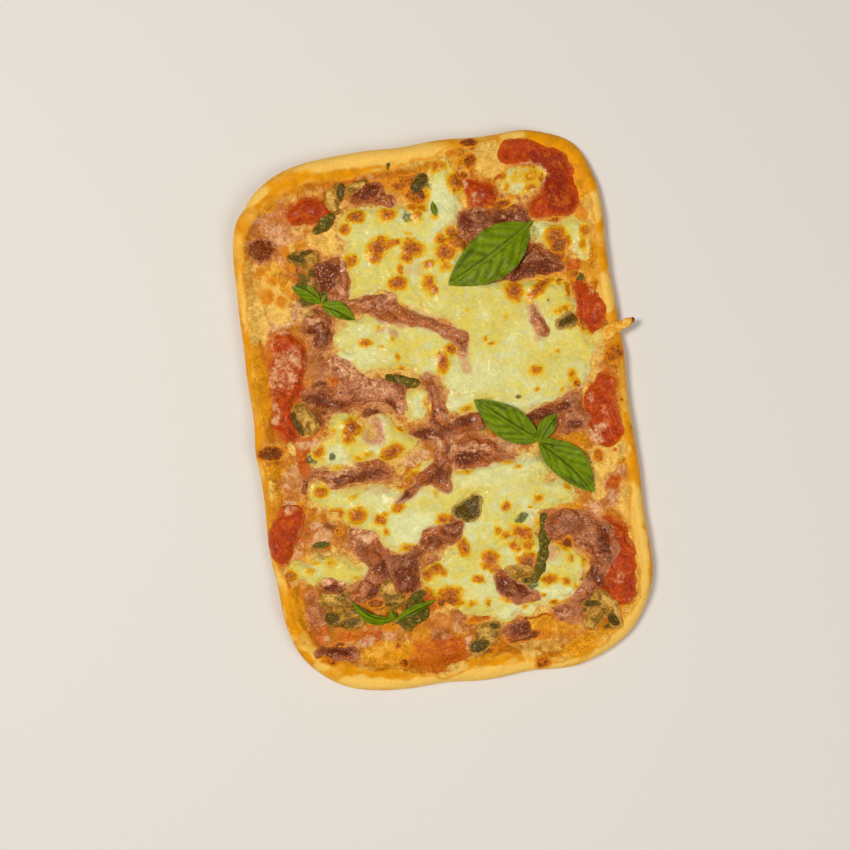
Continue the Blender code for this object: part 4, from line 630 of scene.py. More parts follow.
class PizzaColours(bpy.types.PropertyGroup):
    """The colours of each food on the pizza."""

    crust_pale: colour("Pale crust", (250, 202, 96), "Crust that has baked least")
    crust_gold: colour("Golden crust", (238, 158, 0), "Crust that has browned")
    crust_deep: colour("Deep crust", (222, 146, 8), "Crust that has browned most")
    film: colour("Baked film", (208, 132, 20), "Thin sauce and cheese baked on the dough")
    film_cream: colour("Creamy film", (234, 188, 96), "Film with more cheese in it")
    film_rose: colour("Rosy film", (206, 124, 58), "Cheese film over sauce")
    film_orange: colour("Orange film", (206, 102, 0), "Oily film over sauce")
    film_haze: colour("Milky film", (226, 174, 128), "Pale film over meat or sauce")
    sauce: colour("Sauce", (194, 76, 8), "Tomato sauce that shows")
    scorched: colour("Scorched", (120, 56, 10), "The darkest baked spots")
    herb: colour("Herbs", (86, 82, 16), "Bits of dark herb")
    cheese: colour("Cheese", (228, 216, 116), "Melted cheese")
    cheese_milky: colour("Milky cheese", (232, 231, 168), "Paler cheese")
    cheese_yellow: colour("Yellow cheese", (231, 206, 74), "Oilier cheese")
    cheese_gold: colour("Golden cheese", (240, 192, 34), "Cheese that begins to brown")
    cheese_orange: colour("Toasted cheese", (228, 140, 4), "Toasted ring of a browned spot")
    cheese_brown: colour("Browned cheese", (188, 96, 12), "Middle of a browned spot")
    # Tan grains also stand in, as pale dots, for painted glints on the tomato and the film
    tan: colour("Tan grains", (216, 152, 84), "Grains and blisters on browned food")
    tomato: colour("Tomato", (188, 62, 4), "Crushed tomato")
    # Dark tomato is also painted shade in the dips of the tomato's relief
    tomato_dark_and_shade: colour("Dark tomato", (150, 36, 0), "Tomato where it is deepest")
    ham: colour("Ham", (172, 88, 28), "Baked ham")
    # Dark ham is also painted shade in the dips of the ham's folds, and pink ham painted light on their crests
    ham_dark_and_fold_shade: colour("Dark ham", (114, 44, 6), "Ham that has dried and browned")
    ham_pink_and_crest_light: colour("Pink ham", (200, 130, 90), "Ham that stayed moist")
    mushroom: colour("Mushroom", (184, 132, 40), "Flesh of the mushroom slices")
    mushroom_pale: colour("Pale mushroom", (222, 174, 84), "Cut edges of the slices")
    gills: colour("Gills", (76, 62, 12), "Gills of the mushrooms")
    leaf: colour("Basil", (108, 130, 0), "Fresh basil")
    leaf_light: colour("Light basil", (146, 172, 8), "Veins and sunlit folds of fresh basil")
    leaf_dark: colour("Dark basil", (66, 74, 0), "Shaded folds of fresh basil")
    baked_leaf: colour("Baked basil", (124, 104, 24), "Basil baked with the pizza")


class PizzaSizes(bpy.types.PropertyGroup):
    """Sizes of the relief that the solids don't hold, and the camera's height."""

    cheese_sag: measure("Cheese sag", 0.5 * MM, "Depth of the dips in the cheese")
    ham_fold: measure("Ham folds", 1.3 * MM, "Height of the folds in the ham")
    vein: measure("Vein depth", 0.32 * MM, "Depth of the veins of the basil")
    view_height: measure("View height", 0.75, "Height of the camera")


def ripple(x, y, size, seed):
    """A smooth irregular wave between about -1 and 1, as in the part."""
    total = 0.0
    for wave in range(5):
        turn = seed + 1.9 * wave
        pitch = 2 * math.pi / size * (0.72 + 0.21 * wave)
        total = total + np.sin(pitch * (x * math.cos(turn) + y * math.sin(turn)) + 2.3 * wave * wave + seed)
    return total / 3.2


def lattice(i, j, seed):
    """A fixed scattered value from -1 to 1 for each whole-numbered place."""
    mixed = (i * 374761393 + j * 668265263 + seed * 144269504) & 0xFFFFFFFF
    mixed = ((mixed ^ (mixed >> 13)) * 1274126177) & 0xFFFFFFFF
    return ((mixed ^ (mixed >> 16)) & 0xFFFF) / 32767.5 - 1


def cloud(x, y, size, seed, layers=3):
    """Uneven relief from about -1 to 1, with features of that size in millimetres and finer ones on them."""
    total, weight = 0.0, 0.0
    for layer in range(layers):
        u, v = x / size + 17.3 * layer, y / size - 9.1 * layer
        i, j = np.floor(u).astype(np.int64), np.floor(v).astype(np.int64)
        du, dv = u - i, v - j
        du, dv = du * du * (3 - 2 * du), dv * dv * (3 - 2 * dv)
        near = lattice(i, j, seed + layer) * (1 - du) + lattice(i + 1, j, seed + layer) * du
        far = lattice(i, j + 1, seed + layer) * (1 - du) + lattice(i + 1, j + 1, seed + layer) * du
        share = 0.5**layer
        total = total + share * (near * (1 - dv) + far * dv)
        weight += share
        size = size / 2
    return 1.4 * total / weight


def smooth(share):
    """An eased share, held between 0 and 1."""
    share = np.clip(share, 0.0, 1.0)
    return share * share * (3 - 2 * share)


def mounds(table, x, y):
    """Summed height of rounded bumps, each given as x, y, reach, rise."""
    total = 0.0
    for bump_x, bump_y, bump_reach, rise in table:
        total = total + rise * np.exp(-((x - bump_x) ** 2 + (y - bump_y) ** 2) / bump_reach**2)
    return total


def ovals(table, x, y, wander, waver, seed, rise):
    """The strongest of a table's ovals at each place, with uneven edges, each rising inwards as told."""
    x = x + wander * cloud(x, y, waver, seed)
    y = y + wander * cloud(x, y, waver, seed + 50)
    best = np.zeros(np.shape(x))
    for oval_x, oval_y, long, short, strength, *turn in table:
        reach = 1.6 * max(long, short) + 1
        near = (np.abs(x - oval_x) < reach) & (np.abs(y - oval_y) < reach)
        if near.any():
            c, s = math.cos(math.radians(sum(turn))), math.sin(math.radians(sum(turn)))
            dx, dy = x[near] - oval_x, y[near] - oval_y
            away = np.hypot((dx * c + dy * s) / long, (dy * c - dx * s) / short)
            best[near] = np.maximum(best[near], strength * rise(away))
    return best


def patches(table, x, y, wander=1.6, seed=1, soft=0.9):
    """How much each place lies in oval patches, from 0 to their strength."""
    return ovals(table, x, y, wander, 6.0, seed, lambda away: smooth((1 + soft / 2 - away) / soft))


def hills(table, x, y, wander, seed):
    """Like patches, but rising steadily to the middle of each."""
    return ovals(table, x, y, wander, 3.5, seed, lambda away: np.clip((1.5 - away) / 1.2, 0, 1))


def reach_inside(strokes, x, y, blend=3.0):
    """How far a point lies inside the union of tapered strokes, in millimetres, negative outside."""
    best = np.full(np.shape(x), -1e3)
    for stroke in strokes:
        ends = list(zip(stroke, stroke[1:])) or [(stroke[0], stroke[0])]
        for (x0, y0, r0), (x1, y1, r1) in ends:
            run = max((x1 - x0) ** 2 + (y1 - y0) ** 2, 1e-6)
            along = np.clip(((x - x0) * (x1 - x0) + (y - y0) * (y1 - y0)) / run, 0, 1)
            away = np.hypot(x - x0 - along * (x1 - x0), y - y0 - along * (y1 - y0))
            inside = r0 + along * (r1 - r0) - away
            meet = np.maximum(blend - np.abs(best - inside), 0) / blend
            best = np.maximum(best, inside) + meet * meet * blend / 4
    return best


def box_round(strokes, margin):
    """The box round tapered strokes and a margin: its low and high x, and its low and high y."""
    places = np.array([place for stroke in strokes for place in stroke], float)
    reach = places[:, 2].max() + margin
    (low_x, low_y), (high_x, high_y) = places[:, :2].min(axis=0) - reach, places[:, :2].max(axis=0) + reach
    return low_x, high_x, low_y, high_y


def reach_of(table, x, y, far=14.0):
    """How far places lie inside any piece of a kind, in millimetres, negative outside."""
    best = np.full(np.shape(x), -far)
    for strokes in table.values():
        low_x, high_x, low_y, high_y = box_round(strokes, far)
        near = (x > low_x) & (x < high_x) & (y > low_y) & (y < high_y)
        if near.any():
            best[near] = np.maximum(best[near], reach_inside(strokes, x[near], y[near]))
    return best


def catmull(rows, share):
    """A smooth curve through rows of numbers, at a share that counts rows."""
    rows = np.array(rows, float)
    last = len(rows) - 1
    first = np.clip(np.floor(share).astype(int), 0, last - 1)
    t = (share - first)[:, None]
    p0, p1 = rows[np.clip(first - 1, 0, last)], rows[first]
    p2, p3 = rows[np.clip(first + 1, 0, last)], rows[np.clip(first + 2, 0, last)]
    curve = 2 * p1 + (p2 - p0) * t + (2 * p0 - 5 * p1 + 4 * p2 - p3) * t**2
    return 0.5 * (curve + (3 * p1 - p0 - 3 * p2 + p3) * t**3)


SECTION = catmull(RIM_ROWS, np.linspace(2.0, len(RIM_ROWS) - 1, 90))


def rim_narrowing(x, y):
    """The rim's width as a share, less on the long sides than at the ends."""
    lean = np.abs(x) / (WIDTH / 2) - np.abs(y) / (LENGTH / 2)
    return 1 - (1 - SIDE_RIM_SHARE) * smooth(0.5 + lean * 2)


def rim_rise(x, y):
    """How much higher than usual the rim is beside a place on the outline."""
    return mounds(RIM_CHANGES, x, y) + 0.6 * ripple(x, y, 34.0, 3.0)


def edge_swell(x, y):
    """How far the outline swells out at a place on it."""
    return mounds(EDGE_SWELLS, x, y) + 0.8 * ripple(x, y, 60.0, 1.2)


def inset_of(x, y):
    """Distance of each place from the dough's outline, inwards."""
    bottom = np.where(x < 0, CORNER_RADII[0], CORNER_RADII[1])
    top = np.where(x < 0, CORNER_RADII[3], CORNER_RADII[2])
    radius = np.where(y < 0, bottom, top)
    u, v = np.abs(x) - (WIDTH / 2 - radius), np.abs(y) - (LENGTH / 2 - radius)
    return radius - np.hypot(np.maximum(u, 0), np.maximum(v, 0)) - np.minimum(np.maximum(u, v), 0)


def outline_point(x, y, inset, step=0.5):
    """The place on the dough's outline nearest to each place."""
    slope_x = (inset_of(x + step, y) - inset_of(x - step, y)) / (2 * step)
    slope_y = (inset_of(x, y + step) - inset_of(x, y - step)) / (2 * step)
    size = np.maximum(np.hypot(slope_x, slope_y), 0.3)
    return x - slope_x / size * inset, y - slope_y / size * inset


def dough_height(x, y):
    """Height of the dough's upper face, and the inset measured from its swollen edge."""
    inset = inset_of(x, y)
    edge_x, edge_y = outline_point(x, y, inset)
    swollen = inset + edge_swell(edge_x, edge_y) * np.exp(-np.maximum(inset, 0) / SWELL_REACH)
    across = np.clip(swollen / rim_narrowing(edge_x, edge_y), 1.2, 60)
    height = np.interp(across, SECTION[:, 0], SECTION[:, 1])
    share = np.interp(across, SECTION[:, 0], SECTION[:, 2])
    inner = smooth((across - FLAT_FROM) / FLAT_BLEND)
    floor = FLOOR_HEIGHT + FLOOR_WAVE * (ripple(x, y, 46.0, 0.4) + 0.5 * ripple(x, y, 21.0, 2.0))
    height = (height + share * rim_rise(edge_x, edge_y)) * (1 - inner) + floor * inner
    height = height + mounds(DOUGH_BLISTERS, x, y)
    height = height + 0.35 * cloud(x, y, 9.0, 11) * smooth(across / 5)
    return height + 0.45 * cloud(x, y, 4.4, 12, 2) * inner, across


class Surface:
    """The top of everything laid so far, as heights on a fine raster in millimetres."""

    pitch = 0.5
    low_x, low_y = -146.0, -196.0

    def __init__(self):
        columns, rows = (int(-2 * low / self.pitch) + 1 for low in (self.low_x, self.low_y))
        across = self.low_x + self.pitch * np.arange(columns)
        along = self.low_y + self.pitch * np.arange(rows)
        self.x, self.y = np.meshgrid(across, along, indexing="ij")
        self.height, _ = dough_height(self.x, self.y)
        self.whole = (slice(0, columns), slice(0, rows))

    def window(self, strokes, margin=8):
        """The part of the raster round a piece."""
        low_x, high_x, low_y, high_y = box_round(strokes, margin)
        columns, rows = self.height.shape
        i0 = int(np.clip((low_x - self.low_x) / self.pitch, 0, columns - 2))
        i1 = int(np.clip((high_x - self.low_x) / self.pitch + 2, 2, columns))
        j0 = int(np.clip((low_y - self.low_y) / self.pitch, 0, rows - 2))
        j1 = int(np.clip((high_y - self.low_y) / self.pitch + 2, 2, rows))
        return slice(i0, i1), slice(j0, j1)

    def sample(self, field, part, x, y):
        """Values of a window's field between its points."""
        u = np.clip((x - self.low_x) / self.pitch - part[0].start, 0, field.shape[0] - 1.001)
        v = np.clip((y - self.low_y) / self.pitch - part[1].start, 0, field.shape[1] - 1.001)
        i, j = u.astype(int), v.astype(int)
        du, dv = u - i, v - j
        near = field[i, j] * (1 - du) + field[i + 1, j] * du
        far = field[i, j + 1] * (1 - du) + field[i + 1, j + 1] * du
        return near * (1 - dv) + far * dv


def levelled(field, reach):
    """A field with its bumps evened out over that many raster steps."""
    size = 2 * reach + 1
    for axis in (0, 1, 0, 1):
        pad = [(reach + 1, reach) if axis == n else (0, 0) for n in (0, 1)]
        run = np.cumsum(np.pad(field, pad, mode="edge"), axis=axis)
        ahead = np.take(run, np.arange(size, run.shape[axis]), axis=axis)
        behind = np.take(run, np.arange(0, run.shape[axis] - size), axis=axis)
        field = (ahead - behind) / size
    return field


def deselect_all():
    """Leaves edit mode and clears the selection."""
    if bpy.context.object and bpy.context.object.mode != "OBJECT":
        bpy.ops.object.mode_set(mode="OBJECT")
    for obj in bpy.context.selected_objects:
        obj.select_set(False)


def select_only(obj):
    """Makes one object the selected and the active one."""
    deselect_all()
    obj.select_set(True)
    bpy.context.view_layer.objects.active = obj


def get_points(obj):
    """The mesh's points as rows of x, y, z."""
    points = np.empty(len(obj.data.vertices) * 3)
    obj.data.vertices.foreach_get("co", points)
    return points.reshape(-1, 3)


def set_points(obj, points):
    """Moves the mesh's points to rows of x, y, z."""
    obj.data.vertices.foreach_set("co", np.ascontiguousarray(points, float).ravel())
    obj.data.update()


def add_grid(name, columns, rows):
    """A new flat grid of that many cells, one unit across."""
    deselect_all()
    bpy.ops.mesh.primitive_grid_add(x_subdivisions=columns, y_subdivisions=rows, size=1.0)
    obj = bpy.context.object
    obj.name = obj.data.name = name
    return obj


def delete_faces(obj, drop):
    """Deletes the marked faces and what only they held."""
    bpy.context.tool_settings.mesh_select_mode = (False, False, True)
    mesh = obj.data
    mesh.vertices.foreach_set("select", np.zeros(len(mesh.vertices), bool))
    mesh.edges.foreach_set("select", np.zeros(len(mesh.edges), bool))
    mesh.polygons.foreach_set("select", drop)
    bpy.ops.object.mode_set(mode="EDIT")
    bpy.ops.mesh.delete(type="FACE")
    bpy.ops.object.mode_set(mode="OBJECT")


def apply_modifier(obj, kind, **settings):
    """Adds a modifier with those settings and applies it."""
    modifier = obj.modifiers.new(kind.title(), kind)
    for key, value in settings.items():
        setattr(modifier, key, value)
    bpy.context.view_layer.objects.active = obj
    bpy.ops.object.modifier_apply(modifier=modifier.name)


def thicken(obj, x, y, upper, lower):
    """Makes a flat sheet a closed slab between two heights in millimetres."""
    apply_modifier(obj, "SOLIDIFY", thickness=1.0, offset=-1.0, use_rim=True)
    set_points(obj, to_scene(np.tile(x, 2), np.tile(y, 2), np.concatenate([upper, lower])))


def join_pieces(pieces, name):
    """Joins like pieces into one object."""
    deselect_all()
    for piece in pieces:
        piece.select_set(True)
    bpy.context.view_layer.objects.active = pieces[0]
    if len(pieces) > 1:
        bpy.ops.object.join()
    obj = bpy.context.object
    obj.name = obj.data.name = name
    return obj


def hand_over(obj, finish, nodes):
    """Gives a finished piece its material and its place in the model."""
    obj.data.materials.clear()
    obj.data.materials.append(finish)
    select_only(obj)
    bpy.ops.object.shade_smooth()
    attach(obj, "root")
    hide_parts(*nodes)


def keep_values(obj, **named):
    """Keeps one number a point with the mesh under each name, for its material."""
    for name, values in named.items():
        made = obj.data.attributes.new(name, "FLOAT", "POINT")
        made.data.foreach_set("value", np.ascontiguousarray(values, np.float32))


def keep_patches(obj, x, y, marks):
    """Keeps how much each point lies in tables of patches: name, table, wander, seed, softness."""
    for name, table, wander, seed, soft in marks:
        keep_values(obj, **{name: patches(table, x, y, wander, seed, soft)})


def keep_reaches(obj, x, y, **kinds):
    """Keeps how far each point lies inside other kinds of food."""
    for kind, table in kinds.items():
        keep_values(obj, **{kind: reach_of(table, x, y)})


def to_scene(x, y, z):
    """Table millimetres as rows of scene metres."""
    return np.column_stack([(x - BOX_MIDDLE[0]) * MM, (y - BOX_MIDDLE[1]) * MM, z * MM])


def cut_sheet(name, strokes, cell, edge_wave, wave_size):
    """A flat sheet of small cells with the uneven outline of the strokes, in the tables' millimetres."""
    low_x, high_x, low_y, high_y = box_round(strokes, 3)
    columns, rows = math.ceil((high_x - low_x) / cell), math.ceil((high_y - low_y) / cell)
    obj = add_grid(name, columns, rows)
    points = get_points(obj)
    x = (points[:, 0] + 0.5) * columns * cell + low_x
    y = (points[:, 1] + 0.5) * rows * cell + low_y

    def inside(x, y):
        return reach_inside(strokes, x, y) + edge_wave * cloud(x, y, wave_size, 7)

    core = inside(x, y) > 0.35 * cell
    corners = np.empty(len(obj.data.polygons) * 4, int)
    obj.data.loops.foreach_get("vertex_index", corners)
    corners = corners.reshape(-1, 4)
    kept = core[corners].any(axis=1)
    touched = np.zeros(len(x), bool)
    touched[corners[kept].ravel()] = True
    rim = touched & ~core
    rim_x, rim_y = x[rim], y[rim]
    for _ in range(5):
        here = inside(rim_x, rim_y)
        slope_x = (inside(rim_x + 0.1, rim_y) - inside(rim_x - 0.1, rim_y)) / 0.2
        slope_y = (inside(rim_x, rim_y + 0.1) - inside(rim_x, rim_y - 0.1)) / 0.2
        steep = np.maximum(slope_x**2 + slope_y**2, 0.5)
        rim_x, rim_y = rim_x - here * slope_x / steep, rim_y - here * slope_y / steep
    x[rim], y[rim] = rim_x, rim_y
    set_points(obj, np.column_stack([x, y, np.zeros(len(x))]))
    delete_faces(obj, ~kept)
    return obj, inside


def lay_piece(surface, name, strokes, shape, cell, edge_wave, wave_size, evening, grow):
    """Drapes one piece over the surface: a closed slab whose top is then part of the surface.

    The shape gives its thickness, the height of its edge and how far in the edge rounds off.
    """
    grown = tuple(tuple((x, y, radius + grow) for x, y, radius in stroke) for stroke in strokes)
    obj, inside = cut_sheet(name, grown, cell, edge_wave, wave_size)
    part = surface.window(grown)
    x, y, before = surface.x[part], surface.y[part], surface.height[part].copy()
    field = inside(x, y)
    thickness, edge, rounding = shape(x, y, strokes)
    even = levelled(before, max(int(evening / surface.pitch), 1))
    blend = smooth(field / rounding)
    top = (before + edge) * (1 - blend) + np.maximum(even + thickness, before + edge) * blend
    surface.height[part] = np.where(field > 0, np.maximum(top, before), before)
    x, y, _ = get_points(obj).T
    upper = surface.sample(top, part, x, y)
    lower = np.minimum(surface.sample(before, part, x, y) - PIECE_SINKS, upper - PIECE_LEAST)
    depth = inside(x, y)
    thicken(obj, x, y, upper, lower)
    keep_values(obj, depth=np.tile(depth, 2))
    return obj, np.tile(x, 2), np.tile(y, 2)


def lay_food(name, table, finish, shape, mark=None, *, cell, edge_wave, wave_size, evening, grow=0.0):
    """Drapes every piece of one food over what lies there already, marks it, and joins them all."""
    made = []
    for piece, strokes in table.items():
        sizes = (cell, edge_wave, wave_size, evening, grow)
        obj, x, y = lay_piece(laid["surface"], piece + "_laid", strokes, shape, *sizes)
        if mark:
            mark(obj, x, y, strokes)
        made.append(obj)
    hand_over(join_pieces(made, name), finish, list(table))


# The surface that the dough leaves for the operators after it
laid = {}


class Finish:
    """Builds one procedural material, node by node. A colour may be given by its property's name."""

    def __init__(self, name, context):
        self.material = bpy.data.materials.new(name)
        self.material.use_nodes = True
        self.tree = self.material.node_tree
        self.tree.nodes.clear()
        self.skin = self.node("ShaderNodeBsdfPrincipled")
        self.put(self.node("ShaderNodeOutputMaterial").inputs["Surface"], self.skin.outputs["BSDF"])
        self.place = self.node("ShaderNodeTexCoord").outputs["Object"]
        self.colours = context.scene.pizza_colours

    def node(self, kind):
        """A new node of that kind."""
        return self.tree.nodes.new(kind)

    def put(self, socket, value):
        """Links or sets a socket."""
        if isinstance(value, bpy.types.NodeSocket):
            self.tree.links.new(value, socket)
            return
        if isinstance(value, str):
            value = linear(getattr(self.colours, value))
        socket.default_value = (*value, 1.0) if socket.type == "RGBA" else value

    def kept(self, name):
        """The numbers that the mesh keeps under a name."""
        node = self.node("ShaderNodeAttribute")
        node.attribute_name = name
        return node.outputs["Fac"]

    def texture(self, kind, size, place):
        """A texture with features of that size in millimetres, moved to a place of its own."""
        node, move = self.node(kind), self.node("ShaderNodeMapping")
        self.put(move.inputs["Vector"], self.place)
        self.put(move.inputs["Location"], place)
        self.put(node.inputs["Vector"], move.outputs["Vector"])
        self.put(node.inputs["Scale"], 1 / (size * MM))
        return node

    def noise(self, size, detail, rough, shift=0.0, distort=0.0):
        """Cloudy noise round one half."""
        node = self.texture("ShaderNodeTexNoise", size, (shift, shift * 0.7, shift * 0.3))
        self.put(node.inputs["Detail"], detail)
        self.put(node.inputs["Roughness"], rough)
        self.put(node.inputs["Distortion"], distort)
        return node.outputs["Fac"]

    def cells(self, size, feature, shift):
        """Distances within scattered cells."""
        node = self.texture("ShaderNodeTexVoronoi", size, (shift, shift * 0.7, 0))
        node.feature = feature
        return node.outputs["Distance"]

    def math(self, kind, *values):
        """One sum on numbers or sockets."""
        node = self.node("ShaderNodeMath")
        node.operation = kind
        for socket, value in zip(node.inputs, values):
            self.put(socket, value)
        return node.outputs[0]

    def times(self, a, b):
        """The product of two numbers."""
        return self.math("MULTIPLY", a, b)

    def between(self, a, b, share):
        """A mix of two numbers, with that share of the second."""
        return self.math("MULTIPLY_ADD", b, share, self.times(a, 1 - share))

    def swayed(self, value, noise, sway):
        """A value moved up and down by noise."""
        return self.math("MULTIPLY_ADD", self.math("SUBTRACT", noise, 0.5), sway, value)

    def step(self, value, low, high, out_low=0.0, out_high=1.0):
        """An eased step of a value between two levels."""
        node = self.node("ShaderNodeMapRange")
        node.interpolation_type = "SMOOTHSTEP"
        for socket, number in zip(node.inputs, (value, low, high, out_low, out_high)):
            self.put(socket, number)
        return node.outputs[0]

    def ragged(self, name, noise, sway, low, high, share=1.0):
        """A kept value with its edge made uneven by noise, as a mask up to that share."""
        return self.step(self.swayed(self.kept(name), noise, sway), low, high, 0.0, share)

    def mix(self, mask, a, b):
        """The first colour, and the second where the mask is 1."""
        node = self.node("ShaderNodeMix")
        node.data_type = "RGBA"
        self.put(node.inputs[0], mask)
        self.put(node.inputs[6], a)
        self.put(node.inputs[7], b)
        return node.outputs[2]

    def layered(self, base, *layers):
        """A colour with others laid over it in turn, each through its own mask."""
        for mask, over in layers:
            base = self.mix(mask, base, over)
        return base

    def shade(self, base, amount):
        """A colour made lighter or darker by a number round 1."""
        node = self.node("ShaderNodeVectorMath")
        node.operation = "SCALE"
        self.put(node.inputs[0], base)
        self.put(node.inputs["Scale"], amount)
        return node.outputs[0]

    def speckled(self, base, amount):
        """A colour with fine streaks and grains, gathered in places, lighter and darker by that share."""
        streaks = self.noise(1.7, 3, 0.75, 2.7, distort=1.2)
        grains = self.step(streaks, 0.36, 0.64, 1 - amount, 1 + amount)
        places = self.step(self.noise(9.0, 1, 0.5, 4.4), 0.36, 0.62, 0.25, 1.0)
        return self.mix(places, base, self.shade(base, grains))

    def bumps(self, *reliefs):
        """A normal from reliefs laid on each other, the deepest first: height and depth in millimetres."""
        normal = None
        for height, depth in reliefs:
            node = self.node("ShaderNodeBump")
            self.put(node.inputs["Distance"], depth * MM)
            self.put(node.inputs["Height"], height)
            if normal is not None:
                self.put(node.inputs["Normal"], normal)
            normal = node.outputs["Normal"]
        return normal

    def finish(
        self, base, roughness, normal=None, shine=0.2, soft=0.0, soft_reach=(1.5, 0.8, 0.3), coat=0.0,
        coat_roughness=0.2,
    ):
        """Sets the skin: shine is the specular level, and soft the share of light that runs through."""
        sockets = {
            "Base Color": base,
            "Roughness": roughness,
            "Specular IOR Level": shine,
            "Subsurface Weight": soft,
            "Subsurface Radius": soft_reach,
            "Subsurface Scale": MM,
            "Coat Weight": coat,
            "Coat Roughness": coat_roughness,
        }
        for name, value in sockets.items():
            self.put(self.skin.inputs[name], value)
        if normal is not None:
            self.put(self.skin.inputs["Normal"], normal)
        return self.material


def linear(seen):
    """A colour property as the shader wants it."""
    return tuple(c / 12.92 if c <= 0.04045 else ((c + 0.055) / 1.055) ** 2.4 for c in seen)


def dough_finish(context):
    """Baked dough with sauce and cheese film on it, with painted shade where its relief dips and pale specks
    that partly stand in for glints.
    """
    f = Finish("baked dough", context)
    broad, middle = f.noise(18, 2, 0.5), f.noise(7.5, 4, 0.62, 3.1, distort=0.3)
    fine, grain = f.noise(2.3, 2, 0.6, 5.1, distort=0.4), f.noise(0.9, 2, 0.6, 7.7)
    small, large = f.between(middle, fine, 0.5), f.between(middle, broad, 0.6)
    gold = f.mix(f.step(middle, 0.36, 0.58), "crust_deep", "crust_gold")
    crust = f.layered(
        "crust_pale",
        (f.ragged("golden", broad, 1.2, 0.20, 0.75), "crust_gold"),
        (f.ragged("gold", large, 1.2, 0.25, 0.9), gold),
        (f.step(middle, 0.48, 0.34, 0.0, 0.5), gold),
        (f.ragged("cream", large, 1.0, 0.15, 0.75), "crust_pale"),
    )
    # Darker where the bump relief dips and lighter where it rises: painted shade and light of that relief
    crust = f.speckled(f.shade(crust, f.step(small, 0.38, 0.60, 0.93, 1.03)), 0.06)
    rose = f.mix(f.step(middle, 0.46, 0.64, 0.0, 0.7), "film_rose", "film_haze")
    rose = f.mix(f.step(small, 0.44, 0.32, 0.0, 0.7), rose, "film_orange")
    creamy = f.mix(f.step(small, 0.36, 0.56), "film_rose", "film_cream")
    meat = f.mix(f.step(small, 0.38, 0.62), "ham", "ham_pink_and_crest_light")
    meat = f.mix(f.step(middle, 0.48, 0.36, 0.0, 0.6), meat, "ham_dark_and_fold_shade")
    sauce = f.mix(f.step(small, 0.42, 0.64), "sauce", "film_orange")
    film_gold = f.mix(f.step(large, 0.48, 0.66, 0.0, 0.4), gold, "crust_pale")
    hazy = f.mix(f.step(small, 0.36, 0.56), "film_rose", "film_haze")
    pale = f.mix(f.step(small, 0.36, 0.58), "film_cream", "crust_pale")
    film = f.layered(
        "film_orange",
        (f.step(large, 0.38, 0.58), "film"),
        (f.step(middle, 0.46, 0.70), "film_cream"),
        (f.step(middle, 0.50, 0.30, 0.0, 0.7), "ham"),
        (f.ragged("salmon", large, 1.6, 0.20, 0.95), rose),
        (f.ragged("cheese", middle, 22.0, -8.0, -1.0), creamy),
        (f.ragged("cheese", small, 10.0, -2.5, 0.5), "film_cream"),
        (f.ragged("ham", middle, 14.0, -5.0, -0.5, 0.85), meat),
        (f.ragged("tomato", small, 12.0, -4.0, -0.5, 0.9), sauce),
        (f.ragged("red", small, 1.2, 0.30, 0.90), sauce),
        (f.ragged("gold", large, 1.2, 0.10, 0.75), film_gold),
        (f.ragged("meat", small, 1.2, 0.25, 0.85), meat),
        (f.ragged("meat", small, 1.0, 0.95, 1.45), "ham_dark_and_fold_shade"),
        (f.ragged("haze", small, 1.4, 0.25, 0.95), hazy),
        (f.ragged("cream", middle, 1.2, 0.15, 0.85), pale),
    )
    # Darker where the bump relief dips and lighter where it rises: painted shade and light of that relief
    film = f.speckled(f.shade(film, f.step(small, 0.34, 0.64, 0.77, 1.08)), 0.36)
    line = f.times(
        f.ragged("filmed", large, 0.8, 0.02, 0.35), f.ragged("filmed", large, 1.0, 1.10, 0.60, 0.8)
    )
    # Pale specks on the film: partly grains, partly painted glints of the moist film
    specks_and_glints = f.times(f.step(grain, 0.54, 0.64), f.step(small, 0.42, 0.56, 0.1, 0.45))
    base = f.layered(
        crust,
        (f.ragged("filmed", large, 1.0, 0.35, 0.80), film),
        (line, film_gold),
        # The olive and brown masks also hold two strokes of painted shadow, at a mushroom's edge and under the
        # cheese's edge
        (f.ragged("olive_and_shadow", fine, 1.2, 0.30, 0.90), "herb"),
        (f.ragged("brown_and_shadow", small, 1.2, 0.10, 0.50), "cheese_orange"),
        (f.ragged("brown_and_shadow", small, 1.4, 0.45, 0.90), "cheese_brown"),
        (f.ragged("brown_and_shadow", fine, 1.8, 0.65, 1.15), "scorched"),
        (f.times(specks_and_glints, f.kept("filmed")), f.mix(0.5, "tan", "film_cream")),
    )
    relief = f.times(small, f.math("MULTIPLY_ADD", f.kept("filmed"), 0.85, 0.15))
    rough = f.math("MULTIPLY_ADD", f.kept("filmed"), -0.28, 0.60)
    return f.finish(base, rough, f.bumps((relief, 1.6), (grain, 0.2)), shine=0.10, soft=0.10)


